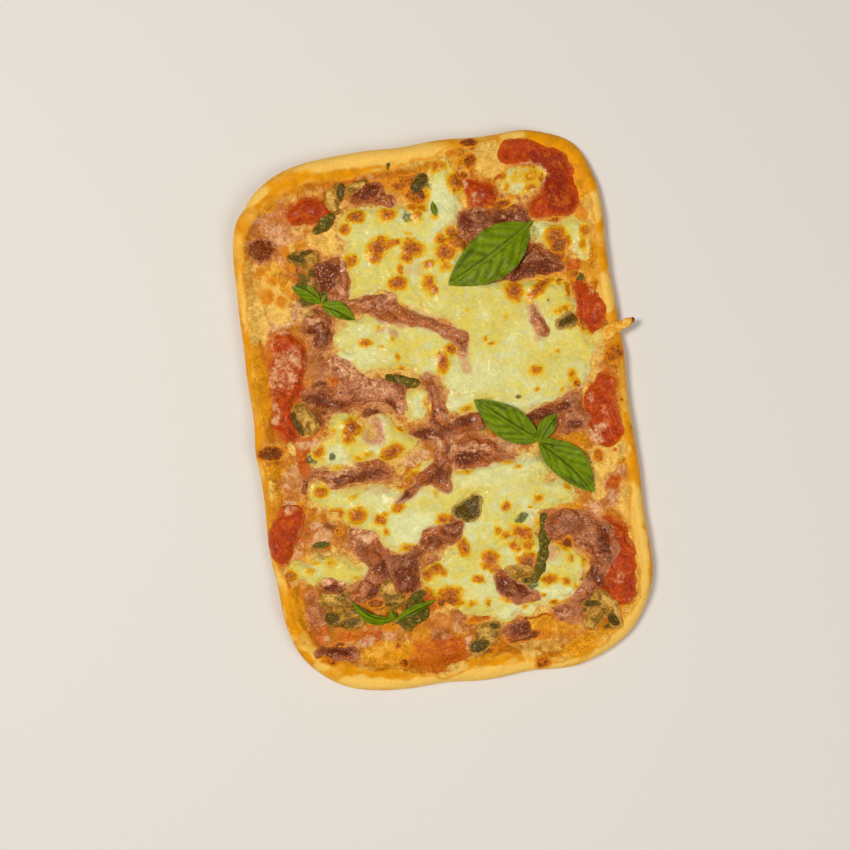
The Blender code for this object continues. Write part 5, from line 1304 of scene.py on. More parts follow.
class PIZZA_OT_dough(bpy.types.Operator):
    """Bakes the dough: a slab with a puffed rim, with film and sauce on its face"""

    bl_idname = "pizza.dough"
    bl_label = "Dough"

    def execute(self, context):
        columns, rows = DOUGH_CELLS
        obj = add_grid("pizza_dough", columns, rows)
        points = get_points(obj)
        i = np.rint((points[:, 0] + 0.5) * columns)
        j = np.rint((points[:, 1] + 0.5) * rows)
        ring = np.minimum(np.minimum(i, columns - i), np.minimum(j, rows - j))
        steps = np.minimum(ring / RIM_RINGS, 1) ** 0.9 * (len(RIM_ROWS) - 1)
        section = catmull(RIM_ROWS, steps)
        last = RIM_ROWS[-1][0]
        spread = (WIDTH / 2 - last) / (columns / 2 - RIM_RINGS)
        edge_x, edge_y = self.on_ring(i, j, ring, np.zeros(len(i)))
        inset = np.where(ring <= RIM_RINGS, section[:, 0], last + spread * (ring - RIM_RINGS))
        narrow = rim_narrowing(edge_x, edge_y)
        inset = np.where(steps > 2, inset * (narrow + (1 - narrow) * smooth((inset - last) / 40)), inset)
        x, y = self.on_ring(i, j, ring, inset)
        out_x, out_y = edge_x / WIDTH, edge_y / LENGTH
        size = np.maximum(np.hypot(out_x, out_y), 1e-6)
        swell = edge_swell(edge_x, edge_y) * np.exp(-inset / SWELL_REACH)
        x, y = x + out_x / size * swell, y + out_y / size * swell
        top, _ = dough_height(x, y)
        side = section[:, 1] + section[:, 2] * rim_rise(edge_x, edge_y)
        blend = smooth(steps - SIDE_ROWS)
        z = np.where(steps < SIDE_ROWS, side, side * (1 - blend) + top * blend)
        z = np.where(ring == 0, 0.0, np.maximum(z, 0.05))
        set_points(obj, to_scene(x, y, z))
        apply_modifier(obj, "WELD", merge_threshold=1e-6)
        self.close_underside(obj)
        x, y, z = get_points(obj).T / MM
        self.mark(obj, x + BOX_MIDDLE[0], y + BOX_MIDDLE[1], z)
        hand_over(obj, dough_finish(context), ["dough"])
        laid["surface"] = Surface()
        return {"FINISHED"}

    def on_ring(self, i, j, ring, inset):
        """Where grid points lie on rounded rings at an inset."""
        columns, rows = DOUGH_CELLS
        side = np.select([j == ring, i == columns - ring, j == rows - ring], [0, 1, 2], 3)
        rightward = (i - ring) / np.maximum(columns - 2 * ring, 1)
        upward = (j - ring) / np.maximum(rows - 2 * ring, 1)
        share = np.choose(side, [rightward, upward, 1 - rightward, 1 - upward])
        halves = np.array([WIDTH / 2, LENGTH / 2])
        radii = np.array(CORNER_RADII)
        along, out = halves[side % 2] - inset, halves[(side + 1) % 2] - inset
        limit = np.minimum(along, out) + 0.001
        first = np.clip(radii[side] - inset, 0.001, limit)
        last = np.clip(radii[(side + 1) % 4] - inset, 0.001, limit)
        arc_first, arc_last = first * math.pi / 4, last * math.pi / 4
        straight = np.maximum(2 * along - first - last, 0)
        run = share * (arc_first + straight + arc_last)
        turn_first = math.pi / 4 - run / first
        turn_last = (run - arc_first - straight) / last
        on_arcs = [run < arc_first, run > arc_first + straight]
        along_arcs = [-along + first - first * np.sin(turn_first), along - last + last * np.sin(turn_last)]
        out_arcs = [out - first + first * np.cos(turn_first), out - last + last * np.cos(turn_last)]
        u = np.select(on_arcs, along_arcs, -along + first + run - arc_first)
        v = np.select(on_arcs, out_arcs, out)
        heading = side * math.pi / 2
        return u * np.cos(heading) + v * np.sin(heading), u * np.sin(heading) - v * np.cos(heading)

    def close_underside(self, obj):
        """Fills the open foot with one flat face."""
        select_only(obj)
        bpy.context.tool_settings.mesh_select_mode = (False, True, False)
        bpy.ops.object.mode_set(mode="EDIT")
        bpy.ops.mesh.select_all(action="DESELECT")
        bpy.ops.mesh.select_non_manifold()
        bpy.ops.mesh.edge_face_add()
        bpy.ops.mesh.select_all(action="SELECT")
        bpy.ops.mesh.normals_make_consistent(inside=False)
        bpy.ops.object.mode_set(mode="OBJECT")

    def mark(self, obj, x, y, z):
        """Keeps where film, sauce and each tone lie on the dough."""
        _, across = dough_height(x, y)
        top = z > TOP_FROM
        edge = across + 2.2 * cloud(x, y, 14, 21) + 1.2 * cloud(x, y, 5, 22)
        filmed = smooth((edge - FILM_FROM + mounds(FILM_PUSHES, x, y)) / FILM_BLEND) * top
        golden = 0.6 + 0.5 * cloud(x, y, 24, 31) + 0.35 * smooth((7 - z) / 6) - 0.1 * (inset_of(x, y) < 0)
        keep_values(obj, filmed=filmed, golden=np.clip(golden, 0, 1))
        for seed, (name, table) in enumerate(DOUGH_PATCHES.items(), 41):
            keep_values(obj, **{name: patches(table, x, y, seed=seed) * top})
        keep_reaches(obj, x, y, cheese=CHEESE_POOLS, ham=HAM, tomato=TOMATOES)


def cheese_finish(context):
    """Melted cheese with browned spots, thin golden edges, what shows through it, and painted shade where its
    relief dips.
    """
    f = Finish("melted cheese", context)
    broad, middle = f.noise(17, 3, 0.55, 1.3, distort=0.6), f.noise(6.0, 3, 0.6, 4.2, distort=0.6)
    fine, grain = f.noise(2.4, 2, 0.6, 6.2, distort=0.4), f.noise(0.85, 2, 0.6, 8.8)
    both, small = f.between(broad, middle, 0.4), f.between(middle, fine, 0.45)
    under = f.mix(f.step(small, 0.38, 0.60), "ham_pink_and_crest_light", "film_haze")
    herbs = f.times(f.ragged("herbs", fine, 1.6, 0.15, 0.90), f.step(f.kept("herbs"), 0.02, 0.35, 0.0, 0.85))
    spot = f.swayed(f.kept("browned"), small, 1.3)
    body = f.swayed(spot, fine, 1.1)
    lit = f.step(f.kept("browned"), 0.0, 0.20)
    base = f.layered(
        "cheese",
        (f.step(both, 0.49, 0.63, 0.0, 0.8), "cheese_yellow"),
        (f.ragged("milky", both, 1.8, 0.10, 0.90), "cheese_milky"),
        (f.step(both, 0.50, 0.38), "cheese_milky"),
        (f.step(small, 0.60, 0.74, 0.0, 0.3), "cheese_gold"),
        (f.step(small, 0.48, 0.34, 0.0, 0.5), "cheese_milky"),
        (f.ragged("pink", small, 1.2, 0.20, 1.0), under),
        (f.ragged("ham", small, 12.0, -2.6, 0.6, 0.8), under),
        (f.ragged("depth", small, 16.0, 3.6, 0.0, 0.8), "film_cream"),
        (f.ragged("depth", small, 9.0, 0.8, -1.0, 0.5), "film_rose"),
        (herbs, "leaf_dark"),
        (f.times(f.step(spot, 0.05, 0.36), lit), "cheese_gold"),
        (f.times(f.step(spot, 0.36, 0.62), lit), "cheese_orange"),
        (f.step(body, 0.62, 0.94), "cheese_brown"),
        (f.step(body, 0.92, 1.20, 0.0, 0.8), "scorched"),
        (f.times(f.step(spot, 0.62, 0.95), f.step(grain, 0.50, 0.62, 0.0, 0.75)), "tan"),
    )
    base = f.mix(f.step(spot, 0.4, 0.9), f.speckled(base, 0.10), f.speckled(base, 0.42))
    # Darker where the bump relief dips and lighter where it rises: painted shade and light of that relief
    base = f.shade(base, f.step(small, 0.36, 0.62, 0.88, 1.05))
    crust = f.times(f.step(spot, 0.25, 0.75), f.between(small, grain, 0.4))
    normal = f.bumps((small, 1.6), (crust, 0.8), (grain, 0.18))
    rough = f.step(broad, 0.3, 0.7, 0.26, 0.40)
    return f.finish(base, rough, normal, shine=0.13, soft=0.2, coat=0.15, coat_roughness=0.12)


class PIZZA_OT_cheese(bpy.types.Operator):
    """Melts the cheese over the dough and the tomato, and browns it in spots"""

    bl_idname = "pizza.cheese"
    bl_label = "Cheese"

    def execute(self, context):
        sag = context.scene.pizza_sizes.cheese_sag / MM

        def shape(x, y, strokes):
            dips = 1.3 * cloud(x, y, 13.0, 61, 2) + 0.7 * cloud(x, y, 5.0, 63, 2) + 0.2 * cloud(x, y, 2.5, 62)
            full = CHEESE_THICKNESS + 0.35 * ripple(x, y, 26.0, 5.0) + mounds(CHEESE_BLISTERS, x, y)
            full = full + sag * dips + 0.5 * hills(CHEESE_BROWNED, x, y, 1.0, 71)
            return full - 0.5 * patches(CHEESE_PINK, x, y, 2.0, 72), 0.15, CHEESE_ROUNDING

        def mark(obj, x, y, strokes):
            keep_values(obj, browned=hills(CHEESE_BROWNED, x, y, 1.0, 71))
            keep_patches(obj, x, y, CHEESE_MARKS)
            keep_reaches(obj, x, y, ham=HAM)

        lay_food(
            "pizza_cheese", CHEESE_POOLS, cheese_finish(context), shape, mark,
            cell=1.0, edge_wave=2.6, wave_size=8.0, evening=4.0,
        )
        return {"FINISHED"}


def tomato_finish(context):
    """Wet crushed tomato, with cheese film on it in places, painted shade in the dips of its relief, and pale
    dots as painted glints.
    """
    f = Finish("crushed tomato", context)
    middle, fine = f.noise(7.0, 3, 0.6, 4.7, distort=0.5), f.noise(2.4, 2, 0.6, 5.2)
    grain = f.noise(0.8, 2, 0.6, 9.8)
    small = f.between(middle, fine, 0.4)
    film = f.mix(f.step(small, 0.42, 0.60), "film_rose", "film_haze")
    base = f.layered(
        "tomato",
        (f.ragged("dark", small, 1.6, 0.15, 0.90), "tomato_dark_and_shade"),
        (f.step(small, 0.48, 0.66, 0.0, 0.7), "film_orange"),
        # Darker where the relief dips: painted shade
        (f.step(small, 0.46, 0.34, 0.0, 0.7), "tomato_dark_and_shade"),
        (f.ragged("filmed", small, 1.8, 0.30, 0.95), film),
        (f.ragged("depth", small, 11.0, 2.4, -1.2, 0.8), "sauce"),
        (f.ragged("depth", middle, 16.0, 2.0, -2.4, 0.75), f.mix(0.5, "film_orange", "film_rose")),
        (f.ragged("cheese", small, 12.0, -2.2, 0.4, 0.8), "film_haze"),
        # Pale dots: painted glints on the wet tomato
        (f.step(grain, 0.58, 0.70, 0.0, 0.25), "tan"),
    )
    # Darker where the bump relief dips and lighter where it rises: painted shade and light of that relief
    base = f.speckled(f.shade(base, f.step(small, 0.34, 0.62, 0.86, 1.10)), 0.34)
    normal, rough = f.bumps((small, 2.6), (grain, 0.35)), f.step(fine, 0.3, 0.7, 0.22, 0.42)
    return f.finish(base, rough, normal, shine=0.14, soft=0.12, coat=0.07, coat_roughness=0.12)


class PIZZA_OT_tomato(bpy.types.Operator):
    """Spreads the crushed tomato"""

    bl_idname = "pizza.tomato"
    bl_label = "Tomato"

    def execute(self, context):
        def shape(x, y, strokes):
            full = TOMATO_THICKNESS + 0.45 * ripple(x, y, 13.0, 1.0)
            return full + 0.5 * cloud(x, y, 5.0, 81) + 0.15 * cloud(x, y, 1.6, 82), 0.15, TOMATO_ROUNDING

        def mark(obj, x, y, strokes):
            keep_patches(obj, x, y, TOMATO_MARKS)
            keep_reaches(obj, x, y, cheese=CHEESE_POOLS)

        lay_food(
            "pizza_tomato", TOMATOES, tomato_finish(context), shape, mark,
            cell=0.8, edge_wave=2.0, wave_size=9.0, evening=2.0, grow=1.0,
        )
        return {"FINISHED"}


def mushroom_finish(context):
    """Baked mushroom: tan flesh, paler cut edges and dark gills, with painted shade where its relief dips."""
    f = Finish("baked mushroom", context)
    middle, fine = f.noise(5.0, 2, 0.5, 3.3, distort=0.6), f.noise(1.8, 2, 0.6, 6.2)
    grain = f.noise(0.7, 2, 0.6, 1.8)
    small = f.between(middle, fine, 0.45)
    gills = f.mix(f.step(grain, 0.52, 0.66, 0.0, 0.7), "gills", "mushroom")
    cheesy = f.times(
        f.ragged("cheese", small, 14.0, -1.5, 3.0), f.ragged("depth", small, 12.0, 2.8, 0.3, 0.6)
    )
    base = f.layered(
        f.mix(0.5, "mushroom", "gills"),
        (f.step(middle, 0.40, 0.56), "mushroom"),
        (f.step(small, 0.50, 0.66, 0.0, 0.8), "mushroom_pale"),
        (f.ragged("pale", small, 1.2, 0.10, 0.8), "mushroom_pale"),
        (f.ragged("depth", middle, 12.0, 1.2, -0.6, 0.25), "mushroom_pale"),
        (f.ragged("gills", small, 2.2, 0.35, 0.75), gills),
        (f.ragged("depth", middle, 6.0, 0.6, -0.8, 0.5), "ham"),
        (cheesy, "film_cream"),
        (f.step(grain, 0.60, 0.70, 0.0, 0.35), "tan"),
    )
    # Darker where the bump relief dips and lighter where it rises: painted shade and light of that relief
    base = f.speckled(f.shade(base, f.step(small, 0.36, 0.60, 0.80, 1.14)), 0.32)
    normal, rough = f.bumps((small, 1.6), (grain, 0.25)), f.step(fine, 0.3, 0.7, 0.24, 0.42)
    return f.finish(base, rough, normal, shine=0.13, soft=0.08, coat=0.08)


class PIZZA_OT_mushrooms(bpy.types.Operator):
    """Lays the sliced mushrooms"""

    bl_idname = "pizza.mushrooms"
    bl_label = "Mushrooms"

    def execute(self, context):
        def shape(x, y, strokes):
            full = MUSHROOM_THICKNESS - 1.0 * patches(MUSHROOM_GILLS, x, y, 0.5, 91)
            return full + 0.6 * cloud(x, y, 5.0, 92) + 0.15 * cloud(x, y, 1.6, 93), 0.7, 3.0

        def mark(obj, x, y, strokes):
            keep_patches(obj, x, y, MUSHROOM_MARKS)
            keep_reaches(obj, x, y, cheese=CHEESE_POOLS)

        lay_food(
            "pizza_mushrooms", MUSHROOMS, mushroom_finish(context), shape, mark,
            cell=0.6, edge_wave=1.2, wave_size=8.0, evening=1.5, grow=0.4,
        )
        return {"FINISHED"}


def ham_finish(context):
    """Baked ham: moist and dry parts, faint fibres, soft edges, and cheese film and grains in places; painted
    light on the crests of its folds, painted shade in their dips, and pale dots that are partly painted glints.
    """
    f = Finish("baked ham", context)
    broad, middle = f.noise(12.0, 2, 0.5, 1.9, distort=1.0), f.noise(5.0, 2, 0.5, 2.9, distort=0.8)
    fine, grain = f.noise(1.8, 2, 0.6, 5.9, distort=0.4), f.noise(0.8, 2, 0.6, 3.8)
    small = f.between(middle, fine, 0.35)
    edge = f.times(f.ragged("depth", small, 9.0, 1.6, -0.8), f.ragged("cheese", small, 14.0, -1.0, 3.0))
    veil = f.mix(f.step(small, 0.36, 0.62), f.mix(0.5, "film_rose", "ham_pink_and_crest_light"), "film_haze")
    # Pale dots, gathered in places: partly grains of cheese, partly painted glints of the moist ham
    grain_and_glint_dots = f.step(f.cells(1.6, "F1", 3.0), 0.34, 0.187)
    gathered = f.times(grain_and_glint_dots, f.step(middle, 0.48, 0.58, 0.0, 0.6))
    grains = f.math("MAXIMUM", gathered, f.step(grain, 0.59, 0.71, 0.0, 0.35))
    base = f.layered(
        "ham",
        (f.step(broad, 0.44, 0.60, 0.0, 0.5), "ham_pink_and_crest_light"),
        (f.ragged("pink", small, 1.2, 0.20, 0.95), "ham_pink_and_crest_light"),
        (f.ragged("dark", small, 1.2, 0.15, 0.80), "ham_dark_and_fold_shade"),
        # Lighter on the crests of the folds and darker in their dips, and darker where the fine relief dips:
        # painted highlight and painted shade
        (f.step(f.kept("crest"), 0.62, 1.0, 0.0, 0.45), "ham_pink_and_crest_light"),
        (f.step(f.kept("crest"), 0.40, 0.05, 0.0, 0.75), "ham_dark_and_fold_shade"),
        (f.step(f.kept("fibre"), 0.45, 0.05, 0.0, 0.22), "ham_dark_and_fold_shade"),
        (f.step(small, 0.47, 0.32, 0.0, 0.7), "ham_dark_and_fold_shade"),
        (edge, "film_haze"),
        (f.ragged("depth", middle, 16.0, 1.4, -2.2, 0.6), "film_rose"),
        (f.ragged("filmed", middle, 1.2, 0.15, 0.90), veil),
        (grains, f.mix(0.35, "film_haze", "film_cream")),
    )
    # Darker where the bump relief dips and lighter where it rises: painted shade and light of that relief
    base = f.speckled(f.shade(base, f.step(small, 0.34, 0.62, 0.79, 1.20)), 0.42)
    normal, rough = f.bumps((small, 2.4), (grain, 0.35)), f.step(fine, 0.35, 0.65, 0.12, 0.28)
    return f.finish(base, rough, normal, shine=0.16, soft=0.08, coat=0.20, coat_roughness=0.07)


class PIZZA_OT_ham(bpy.types.Operator):
    """Lays the torn and folded ham"""

    bl_idname = "pizza.ham"
    bl_label = "Ham"

    def execute(self, context):
        fold = context.scene.pizza_sizes.ham_fold / MM

        def shape(x, y, strokes):
            folds, fibre = self.folds(strokes, x, y)
            full = 0.8 * HAM_THICKNESS + fold * 0.5 * (1 + folds) + 0.05 * fibre
            return full + 0.25 * cloud(x, y, 3.0, 102), 0.15, 4.2

        def mark(obj, x, y, strokes):
            folds, fibre = self.folds(strokes, x, y)
            keep_patches(obj, x, y, HAM_MARKS)
            # The crests are kept so that the material paints them lighter and their dips darker
            keep_values(obj, crest=0.5 + 0.5 * folds, fibre=0.5 + 0.5 * fibre)
            keep_reaches(obj, x, y, cheese=CHEESE_POOLS)

        lay_food(
            "pizza_ham", HAM, ham_finish(context), shape, mark,
            cell=0.75, edge_wave=2.2, wave_size=10.0, evening=2.0, grow=0.7,
        )
        return {"FINISHED"}

    def folds(self, strokes, x, y):
        """Folds along the torn strips, from -1 in a dip to 1 on a crest, and the finer fibres along them."""
        best, across = np.full(np.shape(x), 1e3), np.zeros(np.shape(x))
        for stroke in strokes:
            for (x0, y0, _), (x1, y1, _) in zip(stroke, stroke[1:]):
                run = max(math.hypot(x1 - x0, y1 - y0), 0.1)
                ux, uy = (x1 - x0) / run, (y1 - y0) / run
                along = np.clip((x - x0) * ux + (y - y0) * uy, 0, run)
                away = np.hypot(x - x0 - along * ux, y - y0 - along * uy)
                side = (y - y0) * ux - (x - x0) * uy
                nearer = away < best
                best, across = np.where(nearer, away, best), np.where(nearer, side, across)
        phase = across * 0.24 + 2.2 * cloud(x, y, 15.0, 101, 2)
        fibre = np.sin(across * 2.6 + 2.2 * cloud(x, y, 9.0, 104, 2))
        crease = np.exp(-((np.sin(phase) / 0.30) ** 2))
        return 0.45 + 0.75 * cloud(x, y, 8.0, 103, 2) - 1.1 * crease, fibre


def baked_basil_finish(context):
    """Limp dark basil, with painted shade in the pits of its fine relief."""
    f = Finish("baked basil", context)
    fine, grain = f.noise(2.0, 3, 0.6, 4.9, distort=0.6), f.noise(0.6, 2, 0.6, 2.8)
    base = f.layered(
        f.mix(0.6, "gills", "herb"),
        (f.step(fine, 0.40, 0.62), "baked_leaf"),
        (f.step(fine, 0.58, 0.74, 0.0, 0.8), "mushroom_pale"),
        (f.ragged("depth", fine, 6.0, 0.8, -0.6, 0.25), "film"),
    )
    # Darker where the bump relief dips and lighter where it rises: painted shade and light of that relief
    base = f.speckled(f.shade(base, f.step(grain, 0.2, 0.8, 0.80, 1.24)), 0.45)
    normal = f.bumps((fine, 1.2), (grain, 0.3))
    return f.finish(base, 0.40, normal, shine=0.10, coat=0.10, coat_roughness=0.15)


class PIZZA_OT_baked_basil(bpy.types.Operator):
    """Lays the basil that was baked with the pizza"""

    bl_idname = "pizza.baked_basil"
    bl_label = "Baked basil"

    def execute(self, context):
        def shape(x, y, strokes):
            return BAKED_BASIL_THICKNESS + 0.4 + 0.5 * cloud(x, y, 3.5, 111), 0.3, 1.6

        lay_food(
            "pizza_baked_basil", BAKED_BASIL, baked_basil_finish(context), shape,
            cell=0.6, edge_wave=0.8, wave_size=4.0, evening=1.5,
        )
        return {"FINISHED"}


def crisp_finish(context):
    """Crisp golden cheese with a scorched tip, and painted shade in the pits of its fine relief."""
    f = Finish("crisp cheese", context)
    fine, grain = f.noise(2.6, 4, 0.65, 4.9, distort=0.4), f.noise(0.8, 2, 0.6, 2.8)
    base = f.layered(
        "crust_gold",
        (f.step(fine, 0.40, 0.60), "crust_pale"),
        (f.ragged("depth", fine, 4.0, 1.4, -0.1, 0.8), "film"),
        (f.ragged("foot", fine, 1.2, 0.2, 0.9), f.mix(f.step(fine, 0.4, 0.6), "cheese", "film_cream")),
        (f.ragged("tip", fine, 0.8, 0.5, 0.9), "scorched"),
    )
    # Darker where the bump relief dips and lighter where it rises: painted shade and light of that relief
    base = f.shade(base, f.step(grain, 0.2, 0.8, 0.90, 1.10))
    return f.finish(base, 0.5, f.bumps((fine, 0.8), (grain, 0.3)), soft=0.1)


class PIZZA_OT_crisp_horn(bpy.types.Operator):
    """Makes the crisp horn of cheese that ran out over the rim"""

    bl_idname = "pizza.crisp_horn"
    bl_label = "Crisp cheese"

    def execute(self, context):
        def shape(x, y, strokes):
            full = CRISP_THICKNESS * (0.3 + 0.7 * smooth((x - CRISP_THICKENS) / 8))
            full = full + 0.3 * cloud(x, y, 3.0, 121)
            return full, 0.1 + 0.6 * smooth((x - CRISP_LIFTS) / 8), 2.6

        def mark(obj, x, y, strokes):
            """Levels the end that juts out over the rim, and keeps where the tip and the foot are."""
            points = get_points(obj)
            juts = smooth((x - CRISP_JUTS) / 4)
            level = RIM_HEIGHT - CRISP_BELOW_RIM + 0.3 * cloud(x, y, 4.0, 122)
            upper = np.arange(len(x)) < len(x) // 2
            level = level + np.where(upper, CRISP_HALF_THICKNESS, -CRISP_HALF_THICKNESS)
            points[:, 2] = points[:, 2] * (1 - juts) + juts * level * MM
            set_points(obj, points)
            keep_values(obj, tip=smooth((x - CRISP_TIP) / 4), foot=smooth((CRISP_FOOT - x) / 8))

        lay_food(
            "pizza_crisp_horn", CRISP_HORN, crisp_finish(context), shape, mark,
            cell=0.6, edge_wave=0.5, wave_size=4.0, evening=3.0,
        )
        return {"FINISHED"}


def leaf_half_width(along):
    """Half the width of a basil leaf as a share, from its base to its tip, as in the part."""
    return np.sin(np.pi * np.clip(along, 0, 1) ** 0.86) ** 0.8


def leaf_finish(context):
    """Fresh basil: glossy, with creased veins and puffed cells between them; painted shade in the veins and
    creases, and painted highlight on the puffed cells and the rises of its relief.
    """
    f = Finish("fresh basil", context)
    broad, middle = f.noise(9, 2, 0.5, 5.5, distort=0.8), f.noise(4.0, 2, 0.5, 1.5, distort=1.0)
    fine, veinlets = f.noise(1.1, 3, 0.6, 2.2), f.cells(1.4, "DISTANCE_TO_EDGE", 1.0)
    base = f.layered(
        f.mix(0.6, "leaf_dark", "leaf"),
        (f.step(broad, 0.38, 0.54), "leaf"),
        # Lighter on the rises of the bump relief and on the puffed cells, darker in the veins and creases:
        # painted highlight and painted shade
        (f.step(middle, 0.50, 0.70, 0.0, 0.3), "leaf_light"),
        (f.step(f.kept("puff"), 0.4, 1.0, 0.0, 0.35), "leaf_light"),
        (f.step(f.kept("vein"), 0.3, 0.9, 0.0, 0.40), "leaf_dark"),
        (f.step(f.kept("midrib"), 0.3, 0.9, 0.0, 0.35), "leaf_light"),
        (f.step(f.kept("crease"), 0.2, 0.9, 0.0, 0.85), "leaf_dark"),
    )
    # Darker where the bump relief dips and lighter where it rises: painted shade and light of that relief
    base = f.speckled(f.shade(base, f.step(fine, 0.2, 0.8, 0.94, 1.06)), 0.12)
    normal = f.bumps((middle, 1.2), (fine, 0.15), (veinlets, 0.10))
    sheen = {"shine": 0.12, "coat": 0.06, "coat_roughness": 0.25}
    return f.finish(base, 0.40, normal, soft=0.08, soft_reach=(0.5, 0.9, 0.1), **sheen)


class PIZZA_OT_fresh_basil(bpy.types.Operator):
    """Lays the fresh basil leaves and sprigs on top"""

    bl_idname = "pizza.fresh_basil"
    bl_label = "Fresh basil"

    def execute(self, context):
        vein_depth = context.scene.pizza_sizes.vein / MM
        made = []
        for name, leaves in FRESH_BASIL.items():
            for n, sizes in enumerate(leaves):
                made.append(self.leaf(f"{name}_{n}", vein_depth, *sizes))
        joined = join_pieces(made, "pizza_fresh_basil")
        hand_over(joined, leaf_finish(context), list(FRESH_BASIL))
        return {"FINISHED"}

    def leaf(self, name, vein_depth, base, tip, width, arch, fold, bend):
        """One leaf: a blade with a midrib, side veins, puffed cells and a wavy edge."""
        base, tip = np.array(base, float), np.array(tip, float)
        length = np.linalg.norm(tip - base)
        heading = (tip - base) / length
        across = np.array([-heading[1], heading[0]])
        columns = int(np.clip(length / LEAF_CELL_LENGTH, 24, 130))
        rows = 2 * int(np.clip(width / LEAF_CELL_WIDTH, 8, 34))
        obj = add_grid(name, columns, rows)
        points = get_points(obj)
        along, side = points[:, 0] + 0.5, 2 * points[:, 1]
        half = np.maximum(width / 2 * leaf_half_width(along), 0.35)
        teeth = 1 + 0.01 * np.abs(side) ** 6 * np.sin(along * length * 1.9)
        sideways = bend * np.sin(np.pi * along) + np.sign(side) * np.abs(side) ** 0.9 * half * teeth
        x = base[0] + heading[0] * length * along + across[0] * sideways
        y = base[1] + heading[1] * length * along + across[1] * sideways

        # Side veins run out from the midrib towards the tip, with puffed cells between them
        veins = max(length / 13.0, 2.2)
        wave = along * veins * 1.15 - 2.1 * np.abs(side) ** 1.2 * (1.15 - 0.5 * along)
        wave = wave + 0.25 * cloud(x, y, 12.0, 131, 2)
        line = np.abs((wave + 0.5) % 1 - 0.5) * 2
        inner = smooth(np.abs(side) / 0.12) * smooth((1.02 - np.abs(side)) / 0.3)
        size = inner * np.sin(np.pi * np.clip(along, 0.02, 0.98)) ** 0.5
        # The puff and vein marks paint the cells lighter and the sunken veins darker: painted highlight and
        # painted shade
        puff = (1 - np.exp(-((line / 0.42) ** 2))) * size
        vein = np.exp(-((line / 0.14) ** 2)) * size
        off_midrib = side * half
        midrib = np.exp(-((off_midrib / 0.5) ** 2))
        # The crease marks are painted shade: a dark line beside the midrib, and one half of the leaf towards its
        # tip
        crease = np.exp(-(((off_midrib + 1.2) / 0.8) ** 2))
        crease = crease + 0.8 * smooth((-side - 0.35) / 0.3) * smooth((along - 0.45) / 0.2)

        curl = arch * np.sin(np.pi * np.minimum(along * 1.1, 1.0))
        gutter = fold * np.abs(side) * half * 1.4
        waves = 0.08 * half * side * side * np.sin(along * length * 0.5 + np.where(side > 0, 1.5, 0.2))
        relief = vein_depth * (width / 24 + 0.4) * (puff - 0.6 * np.exp(-((off_midrib / 0.8) ** 2)))
        height = self.resting_height(x, y, curl + gutter + waves + relief)
        thicken(obj, x, y, height + LEAF_THICKNESS, height)
        marks = {"puff": puff, "vein": vein, "midrib": midrib, "crease": crease * size}
        keep_values(obj, **{mark: np.tile(values, 2) for mark, values in marks.items()})
        return obj

    def resting_height(self, x, y, lift):
        """Height of a leaf that leans on what lies under it, and gives way where that is higher."""
        surface = laid["surface"]
        under = surface.sample(surface.height, surface.whole, x, y) + 0.3
        terms = np.column_stack([x, y, np.ones(len(x))])
        plane = terms @ np.linalg.lstsq(terms, under, rcond=None)[0]
        lowest = np.maximum(under, plane + lift - 0.5)
        height = plane + lift - 0.2
        return np.maximum(height, 0.5 * (height + lowest) + 0.5 * np.abs(height - lowest))


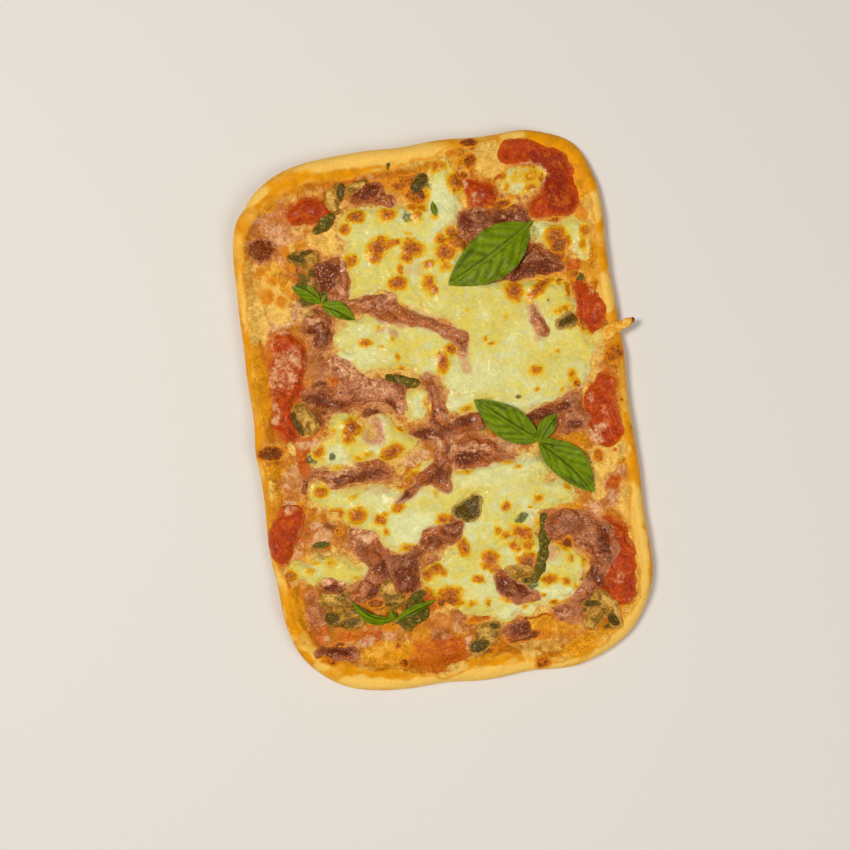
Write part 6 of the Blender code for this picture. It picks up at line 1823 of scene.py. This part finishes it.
class PIZZA_OT_stage(bpy.types.Operator):
    """Sets the floor, the lights and the camera"""

    bl_idname = "pizza.stage"
    bl_label = "Stage"

    def execute(self, context):
        deselect_all()
        bpy.ops.mesh.primitive_plane_add(size=FLOOR_SIZE, location=(0, 0, 0))
        floor = context.object
        floor.name = "floor"
        floor.data.materials.append(Finish("floor", context).finish(FLOOR_SHADE, 0.7))
        world = bpy.data.worlds.new("soft light")
        context.scene.world = world
        world.use_nodes = True
        sky = world.node_tree.nodes["Background"].inputs
        sky["Color"].default_value = (*SKY_SHADE, 1)
        sky["Strength"].default_value = SKY_STRENGTH
        for lamp in LAMPS:
            self.lamp(context, *lamp)
        self.camera(context)
        return {"FINISHED"}

    def lamp(self, context, name, place, size, power, shade):
        """A square lamp that faces the middle of the floor."""
        data = bpy.data.lights.new(name, "AREA")
        data.shape, data.size, data.energy, data.color = "SQUARE", size, power, shade
        obj = bpy.data.objects.new(name, data)
        context.scene.collection.objects.link(obj)
        obj.location = place
        obj.rotation_euler = (-Vector(place)).to_track_quat("-Z", "Y").to_euler()

    def camera(self, context):
        """Looks straight down, turned so that the pizza leans as in the photograph."""
        right, down = ((PHOTO_PIXELS / 2 - pixel) * MM_PER_PIXEL for pixel in PIZZA_PIXEL)
        x = right * math.cos(PHOTO_LEAN) - down * math.sin(PHOTO_LEAN)
        y = -right * math.sin(PHOTO_LEAN) - down * math.cos(PHOTO_LEAN)
        height = context.scene.pizza_sizes.view_height
        data = bpy.data.cameras.new("camera")
        data.sensor_width = SENSOR_WIDTH
        data.lens = SENSOR_WIDTH * (height - FOCUS_HEIGHT * MM) / (PHOTO_PIXELS * MM_PER_PIXEL * MM)
        data.clip_start = 0.01
        obj = bpy.data.objects.new("camera", data)
        context.scene.collection.objects.link(obj)
        obj.location = ((x - BOX_MIDDLE[0]) * MM, (y - BOX_MIDDLE[1]) * MM, height)
        obj.rotation_euler = (0, 0, -PHOTO_LEAN)
        context.scene.camera = obj
        context.scene.view_settings.view_transform = "Standard"


STEPS = (
    PIZZA_OT_dough,
    PIZZA_OT_tomato,
    PIZZA_OT_cheese,
    PIZZA_OT_mushrooms,
    PIZZA_OT_baked_basil,
    PIZZA_OT_ham,
    PIZZA_OT_crisp_horn,
    PIZZA_OT_fresh_basil,
    PIZZA_OT_stage,
)


class PIZZA_PT_panel(bpy.types.Panel):
    """Lists the pizza's steps, sizes and colours"""

    bl_idname = "PIZZA_PT_panel"
    bl_label = "Pizza"
    bl_space_type = "VIEW_3D"
    bl_region_type = "UI"
    bl_category = "Pizza"

    def draw(self, context):
        for step in STEPS:
            self.layout.operator(step.bl_idname)
        for group in (context.scene.pizza_sizes, context.scene.pizza_colours):
            for name in type(group).__annotations__:
                self.layout.prop(group, name)


def register():
    for group in (PizzaColours, PizzaSizes, *STEPS, PIZZA_PT_panel):
        bpy.utils.register_class(group)
    bpy.types.Scene.pizza_colours = bpy.props.PointerProperty(type=PizzaColours)
    bpy.types.Scene.pizza_sizes = bpy.props.PointerProperty(type=PizzaSizes)


def unregister():
    del bpy.types.Scene.pizza_colours, bpy.types.Scene.pizza_sizes
    for group in reversed((PizzaColours, PizzaSizes, *STEPS, PIZZA_PT_panel)):
        bpy.utils.unregister_class(group)


def main():
    register()
    for step in STEPS:
        area, name = step.bl_idname.split(".")
        getattr(getattr(bpy.ops, area), name)()


if __name__ == "__main__":
    main()
